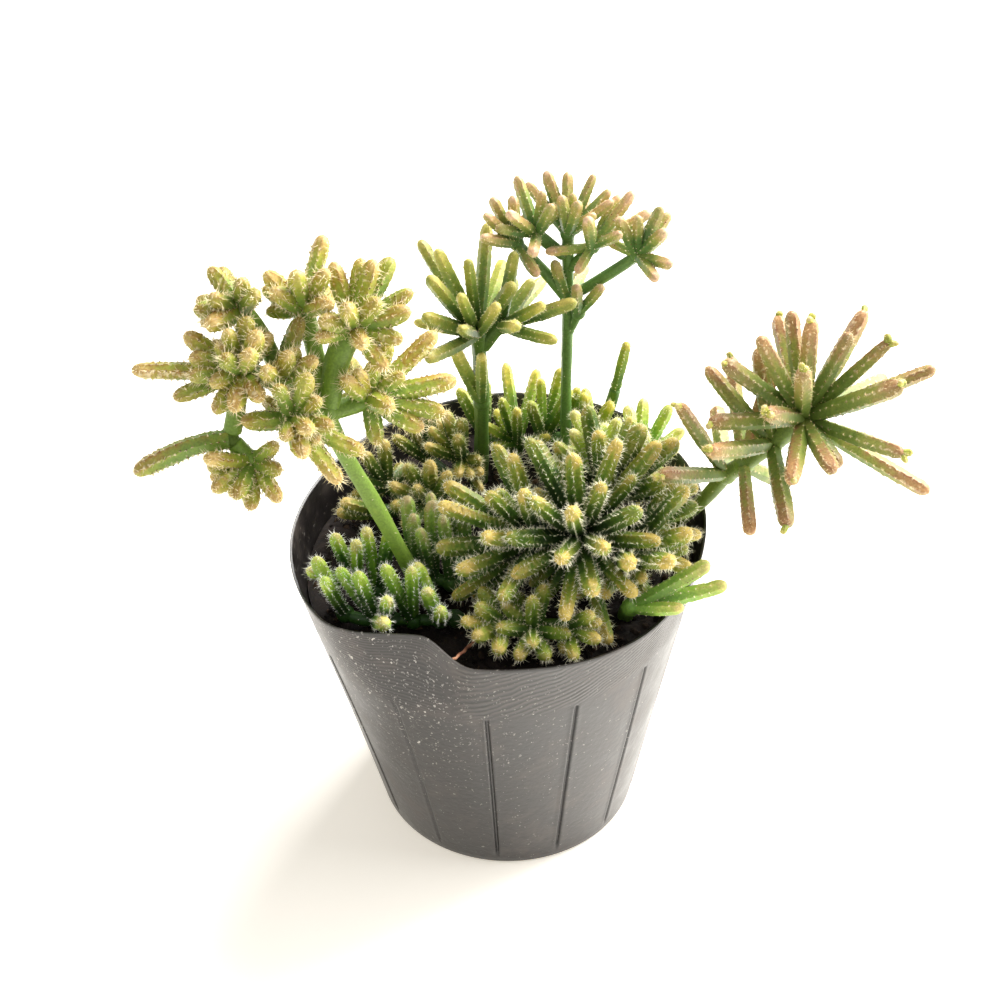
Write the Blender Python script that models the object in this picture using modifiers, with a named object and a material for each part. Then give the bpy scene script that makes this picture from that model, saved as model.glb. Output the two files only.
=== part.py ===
"""A bristly potted rhipsalis: jointed shoots in sprays and tufts, potting soil, and a soft nursery pot.

The object stands on z = 0 with the middle of the pot's base at the origin and its front towards -Y.
"""

import math
import random

import bmesh
import bpy
import numpy as np

# Sizes are in millimetres, and become metres where a mesh is made.
MM = 0.001

# The pot
POT_HEIGHT = 76.0
BASE_RADIUS = 29.5
RIM_RADIUS = 45.0
WALL = 1.2
FLOOR = 1.2
OVAL_SHARE = 0.054
OVAL_TURN = math.radians(57)
RIM_OFFSET = (-1.7, -0.3)
RIM_BAND = 16.0
POT_EDGE = 0.8
RIBS = 14
RIB_TURN = math.radians(-94.2)
RIB_DEPTH = 0.55
RIB_WIDTH = math.radians(1.2)
RIB_FOOT = 4.0
RIB_TOP = 61.0
RIB_RUNOUT = 3.0
SECTOR_COLUMNS = (0.0, 1.3, 12.9, 24.4)
OUTER_ROWS = (POT_EDGE, RIB_FOOT, RIB_TOP - RIB_RUNOUT, RIB_TOP, 68.0, POT_HEIGHT)
INNER_ROWS = (POT_HEIGHT, 68.0, RIB_TOP)

# The soft rim, with the front at a bearing of -90 degrees. Each change has a size and a span, as where
# it starts and where it is full, from either end
PRESS = 4.9
PRESS_LIFT = 2.1
PRESS_SPAN = ((-96, -112), (-142, -111))
RISE = 3.1
RISE_SPAN = ((-42, -88), (-154, -106))
SAG = -2.0
SAG_SPAN = ((-110, -65), (25, -20))

# The drain holes in its floor
DRAIN_HOLES = 6
DRAIN_RADIUS = 2.5
DRAIN_RING = 17.0
DRAIN_SIDES = 8

# The soil
SOIL_TOP = 66.0
SOIL_LUMP = 0.9
SOIL_WAVES = ((0.31, 0.0, 1.3), (0.0, 0.27, -0.4), (0.62, -0.5, 2.1))
SMALL_LUMP = 0.6
SOIL_SHOULDER = 2.0
SOIL_INSET = 1.4
SOIL_COLUMNS = 24
SOIL_RINGS = (0.4, 0.7, 0.96)

# Room between pieces that touch, and to spare beside the soft wall
GAP = 0.3
PRESS_SPARE = 0.4

# The eye that the bearings of the shoots were read from, and the slope of its sight
EYE = np.array([-1.8, -304.2, 342.2])
SIGHT_SLOPE = math.radians(40.5)
ACROSS = np.array([1.0, 0.0, 0.0])
UPWARDS = np.array([0.0, math.sin(SIGHT_SLOPE), math.cos(SIGHT_SLOPE)])

# Each spray: shoot radius, usual shoot length, stems as (radius, points), and whorls.
# A whorl is a hub, its shoots as (bearing, length seen) with a length of their own where it isn't the usual
# one, and how many more fill it. A minus length leans away from the eye.
SPRAYS = {
    "right_low_stems": dict(
        skin="fresh green stems", colour="5f9440",
        seed=17, radius=1.6, length=20, bend=1.6,
        stems=[
            (1.6, [(24, -17, 58), (24.2, -18, 66), (24.4, -21, 71), (24.8, -24, 74.5)]),
        ],
        whorls=[
            ((24.8, -24, 74.5), [(4, 19.5), (-7, 10.5, 11.5), (17, 18.5, 19)], 0),
        ],
    ),
    "right_spray": dict(
        skin="mauve-tipped shoots", colour="7d7a4a",
        seed=11, radius=1.85, length=23, bend=1.0,
        stems=[
            (1.6, [(32, 11, 58), (34, 9, 66), (38, 6, 73), (42, 4, 80), (45.5, 3, 87)]),
            (1.8, [(45.5, 3, 87), (48.7, 2, 90.5), (54, 1, 96.5)]),
            (1.9, [(54, 1, 96.5), (60, 0, 105)]),
        ],
        whorls=[
            ((60, 0, 105), [(105, -21), (120, 17), (141, 18.5), (85, 18.5), (90, 8), (66, 18), (59, 24),
                            (49, 20), (16, 19.5), (24, -18.5), (19, 27.5), (-22, 21), (-32, 29.5),
                            (-63, 12.5), (-94, 13.5), (180, 7), (185, 18.4)], 1),
            ((54, 1, 96.5), [(132, 19.6), (-80, 17), (190, 12.5)], 1),
            ((48.7, 2, 90.5), [(97, -22), (-85, 14.6), (-37, -8)], 1),
            ((45.5, 3, 87), [(184, 13.2), (-75, -11.8), (126, 16.3), (99, -13.8)], 0),
        ],
    ),
    "left_spray": dict(
        skin="sun-tanned shoots", colour="a39a52",
        seed=12, radius=1.9, length=10.5, bend=0.9,
        stems=[
            (1.65, [(-14, -12, 57), (-17, -14.5, 67), (-22, -16, 82.5), (-27.5, -17, 98),
                    (-32, -18, 110), (-34.5, -20, 121)]),
            (1.9, [(-34.5, -20, 121), (-29, -17, 121), (-26, -15, 121.5)]),
            (2.4, [(-34.5, -20, 121), (-32, -16, 131), (-28.5, -13, 137)]),
            (1.9, [(-34.5, -20, 121), (-41, -25, 123.3)]),
            (2.0, [(-34.5, -20, 121), (-42, -19, 127), (-49.5, -20, 131)]),
            (1.8, [(-34.5, -20, 121), (-36.5, -14, 131), (-38.5, -10, 139)]),
            (1.8, [(-42, -19, 127), (-46, -14, 134), (-50.5, -11, 139.5)]),
            (1.7, [(-49.5, -20, 131), (-51, -24, 123.5), (-52, -26, 119.5)]),
            (1.7, [(-52, -26, 119.5), (-47.5, -27, 114)]),
            (2.0, [(-52, -26, 119.5), (-58, -27, 119), (-64, -27.5, 116.5), (-70.5, -28, 113)]),
        ],
        whorls=[
            ((-26, -15, 121.5), [(150, 8.5), (68, 10.5), (42, 17.5), (9, 17), (-14, 15), (-33, 12.5),
                                 (-80, 10), (-32, 5)], 1),
            ((-41, -25, 123.3), [(186, 9.5), (-16, 7.5), (-55, 15.5), (-28, 15), (-75, 8), (118, 6),
                                 (70, 8), (-40, 4)], 0),
            ((-49.5, -20, 131), [(182, 20), (205, 13.8), (191, 9.6), (169, 9.6), (150, 12), (240, 10.3),
                                 (112, 7), (64, 6.8), (90, 9), (155, 3.5), (56, 3), (-60, 7), (-100, 9)], 0),
            ((-43, -19, 128), [(84, 12.3), (62, 5), (-65, 5.8), (25, 8), (150, 5)], 0),
            ((-47.5, -27, 114), [(180, 8.8), (219, 9.5), (247, 8), (268, 9.8), (-58, 9.5)], 0),
            ((-38.5, -10, 139), [(74, 13.5), (140, 9.2), (104, 6), (57, 7.5), (5, 5), (165, 5), (-60, 4)], 0),
            ((-50.5, -11, 139.5), [(85, 4.6), (55, 5.6), (166, 5.5), (186, 8.4), (221, 5.7), (-90, 5)], 1),
            ((-28.5, -13, 137), [(83, 12), (59, 14), (72, 12.6), (109, 11.8), (28, 12.5), (12, 10.8),
                                 (-20, 9.7), (-56, 10.7), (122, 4.8), (160, 3.8), (194, 6), (42, 6)], 0),
        ],
    ),
    "back_spray": dict(
        skin="olive shoots", colour="8a8d4b",
        seed=13, radius=1.3, length=11.5, bend=0.6,
        stems=[
            (1.2, [(13, 29, 57), (13, 28.5, 67), (12.6, 28, 89), (12.5, 28, 105), (12.3, 28, 114)]),
            (1.3, [(12.3, 28, 114), (12.2, 28, 123), (12, 28, 131)]),
            (1.2, [(12.3, 28, 114), (20, 26, 121), (27, 24, 128)]),
            (1.1, [(12.2, 28, 121), (17.5, 25, 129.5)]),
            (1.3, [(12.2, 28, 124), (5, 26.5, 131.5)]),
            (1.2, [(12.3, 28, 114), (7, 27, 122), (1, 25.5, 130)]),
            (1.1, [(13, 28, 106), (15, 27, 112)]),
        ],
        whorls=[
            ((12, 28, 131), [(110, 13), (90, 12), (65, 12.7), (58, -12), (130, 13), (40, 11), (100, 7),
                             (75, 6)], 1),
            ((27, 24, 128), [(90, 7.2), (38, 7), (-55, 6.4), (-20, 7), (63, 9), (120, 8)], 1),
            ((17.5, 25, 129.5), [(70, 11.5), (52, 13.5), (35, 13.5), (20, 6), (100, 5)], 0),
            ((5, 26.5, 131.5), [(147, 6.8), (110, 12), (-100, 4.5), (175, 8), (60, 6)], 0),
            ((1, 25.5, 130), [(140, 6), (175, 7), (95, 9), (120, 10)], 0),
            ((15, 27, 112), [(45, 7), (95, 5)], 0),
            ((12.3, 28, 114), [(120, 9), (60, -8)], 0),
        ],
    ),
    "back_left_spray": dict(
        skin="grey-green shoots", colour="5f7146",
        seed=14, radius=1.5, length=21, bend=1.0,
        stems=[
            (1.6, [(-6, 27, 57), (-6, 26, 67), (-5.8, 22, 84), (-5.8, 20, 98), (-6.4, 18, 113)]),
            (1.5, [(-6.1, 19, 107), (-3, 19, 112), (-1, 19, 114)]),
        ],
        whorls=[
            ((-6.4, 18, 113.5), [(123, 22), (117, 18), (104, 14), (133, 14.2), (85, -22), (70, -15.7),
                                 (117, 7.6), (52, 6), (160, 11), (178, 9), (-150, 9)], 1),
            ((-1, 19, 114), [(15, 15.5), (22, 9), (-10, 9), (-15, 12), (45, -13)], 1),
            ((-5.8, 21, 92), [(112, 13), (96, 9)], 0),
        ],
    ),
    "centre_rosette": dict(
        skin="dark green shoots", colour="5c7a35",
        seed=15, radius=1.9, length=24, bend=1.4,
        stems=[
            (2.2, [(12, 1, 58), (12.5, -1, 67), (14, -5, 75), (15, -8, 80)]),
            (2.0, [(12.5, -1, 69), (8, -4, 74), (6, -7, 78)]),
            (2.0, [(13, -2, 71), (20, -6, 75), (24, -11, 76)]),
            (2.0, [(13, -2, 71), (18, 3, 77), (21, 5, 80)]),
        ],
        whorls=[
            ((15, -8, 80), [(120, 21), (148, 11), (67, 19.4), (48, 24), (18, 24.4), (-8, 15.8),
                            (-19, 24), (-8, 25), (-79, 12.6), (-76, 26), (-125, 7), (-146, 16.3),
                            (-37, 3), (64, 9.8), (46, 6.2), (4, 12), (90, 15), (105, 8), (-100, 18),
                            (-50, 17), (-30, 10), (170, 10)], 1),
            ((6, -7, 78), [(152, 22), (158, 21), (142, 13), (-172, 21), (-176, 11), (-143, 22),
                           (-155, 12), (120, 12), (-120, 12), (180, 16), (100, 14)], 1),
            ((24, -11, 76), [(15, 14), (-12, 16), (-30, 11), (-60, 12), (-85, 14), (35, 15),
                             (-45, 6)], 1),
            ((21, 5, 80), [(60, 15), (90, 12), (35, 18), (120, 10), (75, 6), (15, 15)], 1),
        ],
    ),
    "front_low_tuft": dict(
        skin="yellow-green shoots", colour="87963c",
        seed=16, radius=1.7, length=11, bend=0.8,
        stems=[
            (1.8, [(4, -23, 59), (4, -24, 67), (5, -27, 71)]),
            (1.6, [(4.3, -24.5, 69.8), (-2, -25, 70.8)]),
            (1.6, [(4.3, -24.5, 69.8), (13, -26, 71)]),
        ],
        whorls=[
            ((5, -27, 71.5), [(90, 6), (-115, 7), (-65, 7), (180, 7), (5, 6), (-90, 5)], 1),
            ((-2, -25, 71), [(190, 9.5), (-150, 8), (150, 6), (-100, 5)], 0),
            ((13, -26, 71.5), [(-30, 8), (-80, 6), (-130, 6), (20, 5)], 0),
        ],
    ),
    "front_left_tuft": dict(
        skin="fresh green shoots", colour="6fa042",
        seed=18, radius=1.6, length=14, bend=2.2,
        stems=[
            (1.5, [(-24, -19, 58), (-24, -20, 67), (-25, -21, 70)]),
            (1.3, [(-34.5, -20, 69.2), (-30, -22, 68.9), (-25, -22, 69.2), (-18, -22, 68.8),
                   (-10, -21.5, 68.8)]),
            (1.3, [(-25, -21, 70), (-25, -15, 69.2), (-32.5, -11, 69.4)]),
            (1.3, [(-25, -15, 69.2), (-20, -12, 69.4)]),
        ],
        whorls=[
            ((-33.6, -21, 70), [(122, 11.5), (128, 7)], 0),
            ((-32, -11.2, 70), [(120, 9.5), (165, 8.5), (98, 7)], 0),
            ((-27, -22, 70), [(131, 11.5), (116, 8.5), (-60, 3)], 0),
            ((-27, -13, 70), [(109, 11.5), (86, 10)], 0),
            ((-21, -12.5, 70), [(113, 9.5), (128, 6)], 0),
            ((-19.5, -22, 70), [(122, 11), (98, 9)], 0),
            ((-14.1, -22, 70), [(93, 11), (114, 7), (60, 6)], 0),
            ((-10.5, -21.5, 70), [(127, 6), (86, 8)], 0),
            ((-24.5, -22, 70.5), [(-90, 3), (75, 6)], 0),
        ],
    ),
    "front_middle_tuft": dict(
        skin="shaded green shoots", colour="47702f",
        seed=19, radius=1.6, length=17, bend=1.2,
        stems=[
            (1.5, [(-12, -7, 58), (-12, -7, 67), (-12, -7.5, 69.4)]),
            (1.3, [(-20, -8, 69.2), (-16, -9.5, 69), (-12, -11, 69), (-8, -11, 69), (-4.5, -9.5, 69.2)]),
            (1.3, [(-12, -11, 69), (-12, -7.5, 69.4), (-12, -4, 69.2)]),
        ],
        whorls=[
            ((-19.5, -8, 69.5), [(97, 15), (116, 11)], 0),
            ((-16, -9.5, 69.5), [(90, 15), (106, 11)], 0),
            ((-12, -11, 69.5), [(84, 13), (96, 16)], 0),
            ((-8, -11, 69.5), [(88, 15), (74, 11)], 0),
            ((-4.5, -9.5, 69.5), [(82, 14)], 0),
            ((-12, -5, 69.5), [(100, 13), (80, 13)], 0),
        ],
    ),
    "mid_left_tuft": dict(
        skin="moss green shoots", colour="7c8a3c",
        seed=20, radius=1.55, length=12.5, bend=1.0,
        stems=[
            (1.6, [(-17, 12, 58), (-17, 12, 67), (-17, 11, 73)]),
            (1.5, [(-17, 12, 70), (-24, 15, 71), (-27, 18, 72)]),
            (1.5, [(-17, 12, 70), (-12, 18, 73), (-10, 23, 76)]),
            (1.5, [(-12, 18, 73), (-18, 24, 74)]),
            (1.4, [(-17, 12, 70), (-22, 10.5, 70.5), (-27.5, 9, 71)]),
        ],
        whorls=[
            ((-17, 11, 74), [(160, 9), (190, 8), (125, 9), (90, 8), (60, 7), (220, 8), (140, 4)], 0),
            ((-27, 18, 73), [(170, 8), (200, 8), (130, 8), (95, 9)], 0),
            ((-27.5, 9, 71), [(171, 9.5), (184, 10.5)], 0),
            ((-10, 23, 77), [(140, 9), (110, 10), (80, 9), (165, 8), (100, 4)], 0),
            ((-18, 24, 75), [(150, 9), (120, 10), (90, 8)], 0),
        ],
    ),
    "back_tuft": dict(
        skin="olive upright shoots", colour="6f8038",
        seed=21, radius=1.45, length=16, bend=0.6,
        stems=[
            (1.5, [(2, 35, 58), (2, 34, 67), (2, 33, 71)]),
            (1.4, [(-6, 35.5, 71), (2, 33, 71), (10, 35, 71), (19, 34, 71)]),
            (1.3, [(19, 34, 71), (22.5, 34, 80), (24, 34, 87)]),
        ],
        whorls=[
            ((-5, 35, 71), [(105, 16), (90, 12), (120, 12)], 0),
            ((2, 33, 71.5), [(98, 18), (80, 17), (110, 10), (90, 7)], 1),
            ((8, 34.5, 71.5), [(75, 16), (92, 13), (60, 12), (110, 8)], 0),
            ((13.5, 35, 71.5), [(78, 11), (100, 8)], 0),
            ((19, 34, 71), [(62, 12), (100, 10)], 1),
            ((24, 34, 87), [(75, 9.5)], 0),
        ],
    ),
    "right_back_tuft": dict(
        skin="pale green shoots", colour="8ea35a",
        seed=22, radius=1.6, length=14, bend=1.0,
        stems=[
            (1.5, [(28, 24, 58), (28, 24, 67), (29, 23, 74)]),
            (1.4, [(28, 24, 70), (22, 21, 73), (19, 20, 76)]),
        ],
        whorls=[
            ((29, 23, 75), [(60, 14), (85, 14), (110, 13), (35, 12), (135, 11), (75, 6), (20, 9)], 1),
            ((19, 20, 77), [(90, 11), (110, 12), (70, 10), (130, 10), (95, 4)], 1),
        ],
    ),
}

# The dry rootlet that has come up out of the soil at the front
ROOTLET_RADIUS = 0.45
ROOTLET = [(-2.5, -21, 62), (-3.6, -22.5, 67.5), (-6, -28, 70.2), (-9, -33.5, 71.3), (-11.6, -38, 73)]

# How shoots are grown
LINE_POINTS = 9
ROOTED = 0.9
LENGTH_SPREAD = (0.92, 1.08)
GIRTH_SPREAD = (0.85, 1.08)
CLEARANCE = 0.7
CROWDING = -0.5
MIN_ANGLE = math.radians(19)
STEM_BEADS = 1.5
HUB_SEARCH = 0.5
SHORTER = (1.0, 0.82, 0.66)
TURNS = [
    (0, 0), (6, 0), (-6, 0), (0, 8), (0, -8), (9, 9), (-9, 9), (9, -9), (-9, -9), (14, 0), (-14, 0),
    (0, 16), (0, -16), (16, 12), (-16, 12), (16, -12), (-16, -12), (0, 24), (0, -24), (24, 0), (-24, 0),
]

# How the room between the chosen shoots is filled
FILL_DIRECTIONS = 80
FILL_SPREAD = math.radians(27)
FILL_LENGTH = (0.7, 0.95)
FILL_SEED = 500
LOWEST_FILL = -0.6
FRONTMOST_FILL = 0.9

# How a shoot's mesh is drawn: rings from tip to base as (share of the length, share of the radius)
SHOOT_SIDES = 4
SHORT_SHOOT = 15.0
SHORT_RINGS = ((1.0, 0.0), (0.88, 0.84), (0.4, 1.0), (0.0, 0.0))
LONG_RINGS = ((1.0, 0.0), (0.94, 0.78), (0.68, 1.02), (0.34, 0.98), (0.0, 0.0))
KNOB_HIGH = 1.12
KNOB_LOW = 0.96
KNOB_FROM = 0.9
ASKEW = (0.31, 0.17, 0.93)
TURN_SEED = 900

# The swollen joint of a whorl with many shoots
DENSE_WHORL = 6
HUB_SWELL = 1.6
HUB_SIDES = 5
HUB_RINGS = 3

# How stems are drawn, and the plain holes that they stand in
STEM_STEP = 7.0
ROOTLET_STEP = 3.0
LONG_STEM = 7
HOLE_SPARE = 0.6
HOLE_TOP = 69.0


def unit(vector):
    return vector / np.linalg.norm(vector)


def smooth_step(value):
    value = min(max(value, 0.0), 1.0)
    return value * value * (3 - 2 * value)


def even_directions(count):
    """Directions spread evenly over a sphere along a golden spiral."""
    golden_angle = math.pi * (3 - math.sqrt(5))
    for step in range(count):
        height = 1 - (2 * step + 1) / count
        ring = math.sqrt(1 - height * height)
        turn = step * golden_angle
        yield np.array([ring * math.cos(turn), ring * math.sin(turn), height])


def pot_radius(angle, height):
    """The outside of the pot, which tapers and is squeezed a little oval towards the rim."""
    share = height / POT_HEIGHT
    round_radius = BASE_RADIUS + (RIM_RADIUS - BASE_RADIUS) * share
    return round_radius * (1 + OVAL_SHARE * share * math.cos(2 * (angle - OVAL_TURN)))


def along_rim(angle, spans):
    """How far, from 0 to 1, a change of the rim has grown at this angle."""
    bearing = math.degrees(angle)
    grown = 1.0
    for start, full in spans:
        grown *= smooth_step((bearing - start) / (full - start))
    return grown


def dented(angle):
    """How far, from 0 to 1, the soft wall is pressed in at the front left."""
    return along_rim(angle, PRESS_SPAN)


def rim_height(angle):
    """The rim stands a little higher where it is pressed in, and dips along the front right."""
    rise = RISE * along_rim(angle, RISE_SPAN) + SAG * along_rim(angle, SAG_SPAN)
    return POT_HEIGHT + rise + PRESS_LIFT * dented(angle)


def pot_point(angle, height, inset):
    """A point of the pot's shell: at this height and this far in from its outer face."""
    band = smooth_step((height - POT_HEIGHT + RIM_BAND) / RIM_BAND)
    groove = 0.0
    if RIB_FOOT <= height < RIB_TOP:
        turn = (angle - RIB_TURN) % (2 * math.pi / RIBS)
        turn = min(turn, 2 * math.pi / RIBS - turn)
        groove = RIB_DEPTH * (turn < RIB_WIDTH / 2)
    radius = pot_radius(angle, height) - inset - groove - PRESS * band * dented(angle)
    share = height / POT_HEIGHT
    raised = height + (rim_height(angle) - POT_HEIGHT) * band
    return (
        radius * math.cos(angle) + RIM_OFFSET[0] * share,
        radius * math.sin(angle) + RIM_OFFSET[1] * share,
        raised,
    )


def clear_of_pot(point, radius):
    """True where a shoot of this radius touches neither the soil nor the pot's wall and rim."""
    x, y, z = point
    share = min(z / POT_HEIGHT, 1)
    x = x - RIM_OFFSET[0] * share
    y = y - RIM_OFFSET[1] * share
    angle = math.atan2(y, x)
    if z > rim_height(angle) + radius + GAP:
        return True
    wall = pot_radius(angle, min(z, POT_HEIGHT)) - PRESS * dented(angle)
    if math.hypot(x, y) < wall - WALL - PRESS_SPARE - radius - GAP:
        return z > SOIL_TOP + SOIL_LUMP + radius + GAP
    return False


def shoot_direction(hub, bearing, lean):
    """A bearing of 0 points right and 90 up as the eye sees it. A positive lean comes towards the eye."""
    towards = unit(EYE - hub)
    flat = math.cos(bearing) * ACROSS + math.sin(bearing) * UPWARDS
    flat = unit(flat - flat.dot(towards) * towards)
    return math.cos(lean) * flat + math.sin(lean) * towards


def shoot_line(hub, direction, length, bend):
    """A shoot's middle line, which turns up a little towards the light."""
    along = np.linspace(0, 1, LINE_POINTS)[:, None]
    return hub + direction * (length * along - ROOTED * (1 - along)) + np.array([0, 0, bend]) * along**2


def smooth_line(points, step):
    """A smooth curve through a stem's own points, with a point about every step."""
    points = [np.array(point, float) for point in points]
    padded = [2 * points[0] - points[1], *points, 2 * points[-1] - points[-2]]
    line = []
    for a, b, c, d in zip(padded, padded[1:], padded[2:], padded[3:]):
        pieces = max(2, round(np.linalg.norm(c - b) / step))
        for piece in range(pieces):
            t = piece / pieces
            cubic = 3 * b - 3 * c + d - a
            square = 2 * a - 5 * b + 4 * c - d
            line.append(0.5 * (2 * b + (c - a) * t + square * t**2 + cubic * t**3))
    line.append(points[-1])
    return np.array(line)


class Thicket:
    """What has grown so far, as balls along each shoot and stem, with its spray and its whorl."""

    def __init__(self):
        self.balls = np.zeros((0, 6))

    def add(self, spray, whorl, line, radius):
        marks = np.tile([radius, spray, whorl], (len(line), 1))
        self.balls = np.vstack([self.balls, np.hstack([line, marks])])

    def has_room(self, spray, whorl, line, radius):
        """Whether a shoot is clear of other sprays, and its outer half of its spray's other whorls."""
        distances = np.linalg.norm(line[:, None] - self.balls[None, :, :3], axis=2)
        apart = distances - radius - self.balls[:, 3]
        foreign = self.balls[:, 4] != spray
        sister = ~foreign & (self.balls[:, 5] != whorl)
        if foreign.any() and apart[:, foreign].min() < CLEARANCE:
            return False
        return not sister.any() or apart[len(line) // 2:, sister].min() >= CROWDING


def try_shoot(thicket, spray, whorl, hub, direction, length, habit):
    """The shoot's line, or None where it would run into another spray, the soil or the pot."""
    line = shoot_line(hub, direction, length, habit["bend"])
    if not all(clear_of_pot(point, habit["radius"]) for point in line[2:]):
        return None
    if not thicket.has_room(spray, whorl, line, habit["radius"]):
        return None
    return line


def crowded(direction, beside, angle):
    """Whether a shoot of the same whorl already points this way."""
    return bool(beside) and max(other.dot(direction) for other in beside) > math.cos(angle)


def chosen_shoot(thicket, spray, whorl, hub, bearing, seen, usual, habit, beside, dice):
    """A shoot whose bearing was chosen; where it has no room it is turned a little, then made shorter."""
    length = max(abs(seen), usual * dice.uniform(*LENGTH_SPREAD))
    lean = math.copysign(math.acos(min(1.0, abs(seen) / length)), seen)
    for share in SHORTER:
        for turn, tip in TURNS:
            direction = shoot_direction(hub, math.radians(bearing + turn), lean + math.radians(tip))
            if crowded(direction, beside, MIN_ANGLE):
                continue
            line = try_shoot(thicket, spray, whorl, hub, direction, length * share, habit)
            if line is not None:
                return line, direction
    return None, None


def faces_eye(hub, direction):
    """Whether a shoot would point nearly straight at the eye, where the real plant shows few."""
    return unit(EYE - hub).dot(direction) > FRONTMOST_FILL


def on_stem(spray, hub):
    """The hub moved onto its spray's nearest stem, a little way in from the stem's end."""
    lines = [smooth_line(points, HUB_SEARCH) for _, points in spray["stems"]]
    inner = np.vstack([line[:-2] for line in lines])
    return inner[np.argmin(np.linalg.norm(inner - np.array(hub, float), axis=1))]


def grow():
    """Every stem, chosen shoot and filling shoot, as (spray name, kind, whorl, line, radius)."""
    grown = []
    thicket = Thicket()
    thicket.add(-1, -1, smooth_line(ROOTLET, STEM_BEADS), ROOTLET_RADIUS)
    for spray, (name, habit) in enumerate(SPRAYS.items()):
        for radius, points in habit["stems"]:
            line = smooth_line(points, STEM_BEADS)
            grown.append((name, "stem", -1, line, radius))
            thicket.add(spray, -1, line, radius)
    taken = {}
    for spray, (name, habit) in enumerate(SPRAYS.items()):
        dice = random.Random(habit["seed"])
        for whorl, (hub, chosen, _) in enumerate(habit["whorls"]):
            hub = on_stem(habit, hub)
            taken[name, whorl] = []
            for bearing, seen, *own in chosen:
                usual = own[0] if own else habit["length"]
                line, direction = chosen_shoot(
                    thicket, spray, whorl, hub, bearing, seen, usual, habit, taken[name, whorl], dice
                )
                if line is None:
                    continue
                grown.append((name, "shoot", whorl, line, habit["radius"] * dice.uniform(*GIRTH_SPREAD)))
                thicket.add(spray, whorl, line, habit["radius"])
                taken[name, whorl].append(direction)
    for spray, (name, habit) in enumerate(SPRAYS.items()):
        dice = random.Random(habit["seed"] + FILL_SEED)
        for whorl, (hub, _, extra) in enumerate(habit["whorls"]):
            hub = on_stem(habit, hub)
            beside = taken[name, whorl]
            for direction in even_directions(FILL_DIRECTIONS):
                length = habit["length"] * dice.uniform(*FILL_LENGTH)
                if extra == 0 or direction[2] < LOWEST_FILL:
                    continue
                if faces_eye(hub, direction) or crowded(direction, beside, FILL_SPREAD):
                    continue
                line = try_shoot(thicket, spray, whorl, hub, direction, length, habit)
                if line is None:
                    continue
                grown.append((name, "fill", whorl, line, habit["radius"] * dice.uniform(*GIRTH_SPREAD)))
                thicket.add(spray, whorl, line, habit["radius"])
                beside.append(direction)
                extra -= 1
    return grown


def clear_scene():
    for obj in list(bpy.data.objects):
        bpy.data.objects.remove(obj)


def new_collection(name):
    collection = bpy.data.collections.new(name)
    bpy.context.scene.collection.children.link(collection)
    return collection


def principled(name, colour, roughness, metallic=0.0):
    """A material from an sRGB hex colour."""
    levels = [int(colour[place:place + 2], 16) / 255 for place in (0, 2, 4)]
    linear = [v / 12.92 if v <= 0.04045 else ((v + 0.055) / 1.055) ** 2.4 for v in levels]
    material = bpy.data.materials.new(name)
    material.use_nodes = True
    shader = material.node_tree.nodes["Principled BSDF"]
    shader.inputs["Base Color"].default_value = (*linear, 1)
    shader.inputs["Roughness"].default_value = roughness
    shader.inputs["Metallic"].default_value = metallic
    material.diffuse_color = (*linear, 1)
    return material


def mesh_object(name, shape, collection):
    """An object from a bmesh drawn in millimetres."""
    bmesh.ops.scale(shape, vec=(MM, MM, MM), verts=shape.verts)
    mesh = bpy.data.meshes.new(name)
    shape.to_mesh(mesh)
    shape.free()
    obj = bpy.data.objects.new(name, mesh)
    collection.objects.link(obj)
    return obj


def evaluated_mesh(obj):
    """The object's mesh with its modifiers applied."""
    graph = bpy.context.evaluated_depsgraph_get()
    return bpy.data.meshes.new_from_object(obj.evaluated_get(graph))


def draw_shoot(name, line, radius, turn, collection):
    """A blunt shoot: a sphere drawn out along its line, pinched at its base, its areoles as knobs."""
    length = np.linalg.norm(line[-1] - line[0])
    rings = LONG_RINGS if length > SHORT_SHOOT else SHORT_RINGS
    shape = bmesh.new()
    bmesh.ops.create_uvsphere(shape, u_segments=SHOOT_SIDES, v_segments=len(rings) - 1, radius=1)
    direction = unit(line[-1] - line[0])
    side = unit(np.cross(direction, ASKEW))
    other = np.cross(direction, side)
    for vertex in shape.verts:
        x, y, z = vertex.co
        ring = round(math.acos(max(-1.0, min(1.0, z))) / math.pi * (len(rings) - 1))
        column = round(math.atan2(y, x) / (2 * math.pi) * SHOOT_SIDES) % SHOOT_SIDES
        along, width = rings[ring]
        place = along * (LINE_POINTS - 1)
        low = min(int(place), LINE_POINTS - 2)
        middle = line[low] + (line[low + 1] - line[low]) * (place - low)
        if width > KNOB_FROM:
            width *= KNOB_HIGH if (column + ring) % 2 else KNOB_LOW
        angle = turn + 2 * math.pi * (column + ring / 2) / SHOOT_SIDES
        vertex.co = middle + radius * width * (math.cos(angle) * side + math.sin(angle) * other)
    bmesh.ops.triangulate(shape, faces=shape.faces)
    return mesh_object(name, shape, collection)


def draw_hub(name, centre, radius, turn, collection):
    """The swollen joint that a whorl grows from."""
    shape = bmesh.new()
    bmesh.ops.create_uvsphere(shape, u_segments=HUB_SIDES, v_segments=HUB_RINGS, radius=radius)
    for vertex in shape.verts:
        x, y, z = vertex.co
        vertex.co = (
            centre[0] + x * math.cos(turn) - y * math.sin(turn),
            centre[1] + x * math.sin(turn) + y * math.cos(turn),
            centre[2] + z,
        )
    bmesh.ops.triangulate(shape, faces=shape.faces)
    return mesh_object(name, shape, collection)


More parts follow.
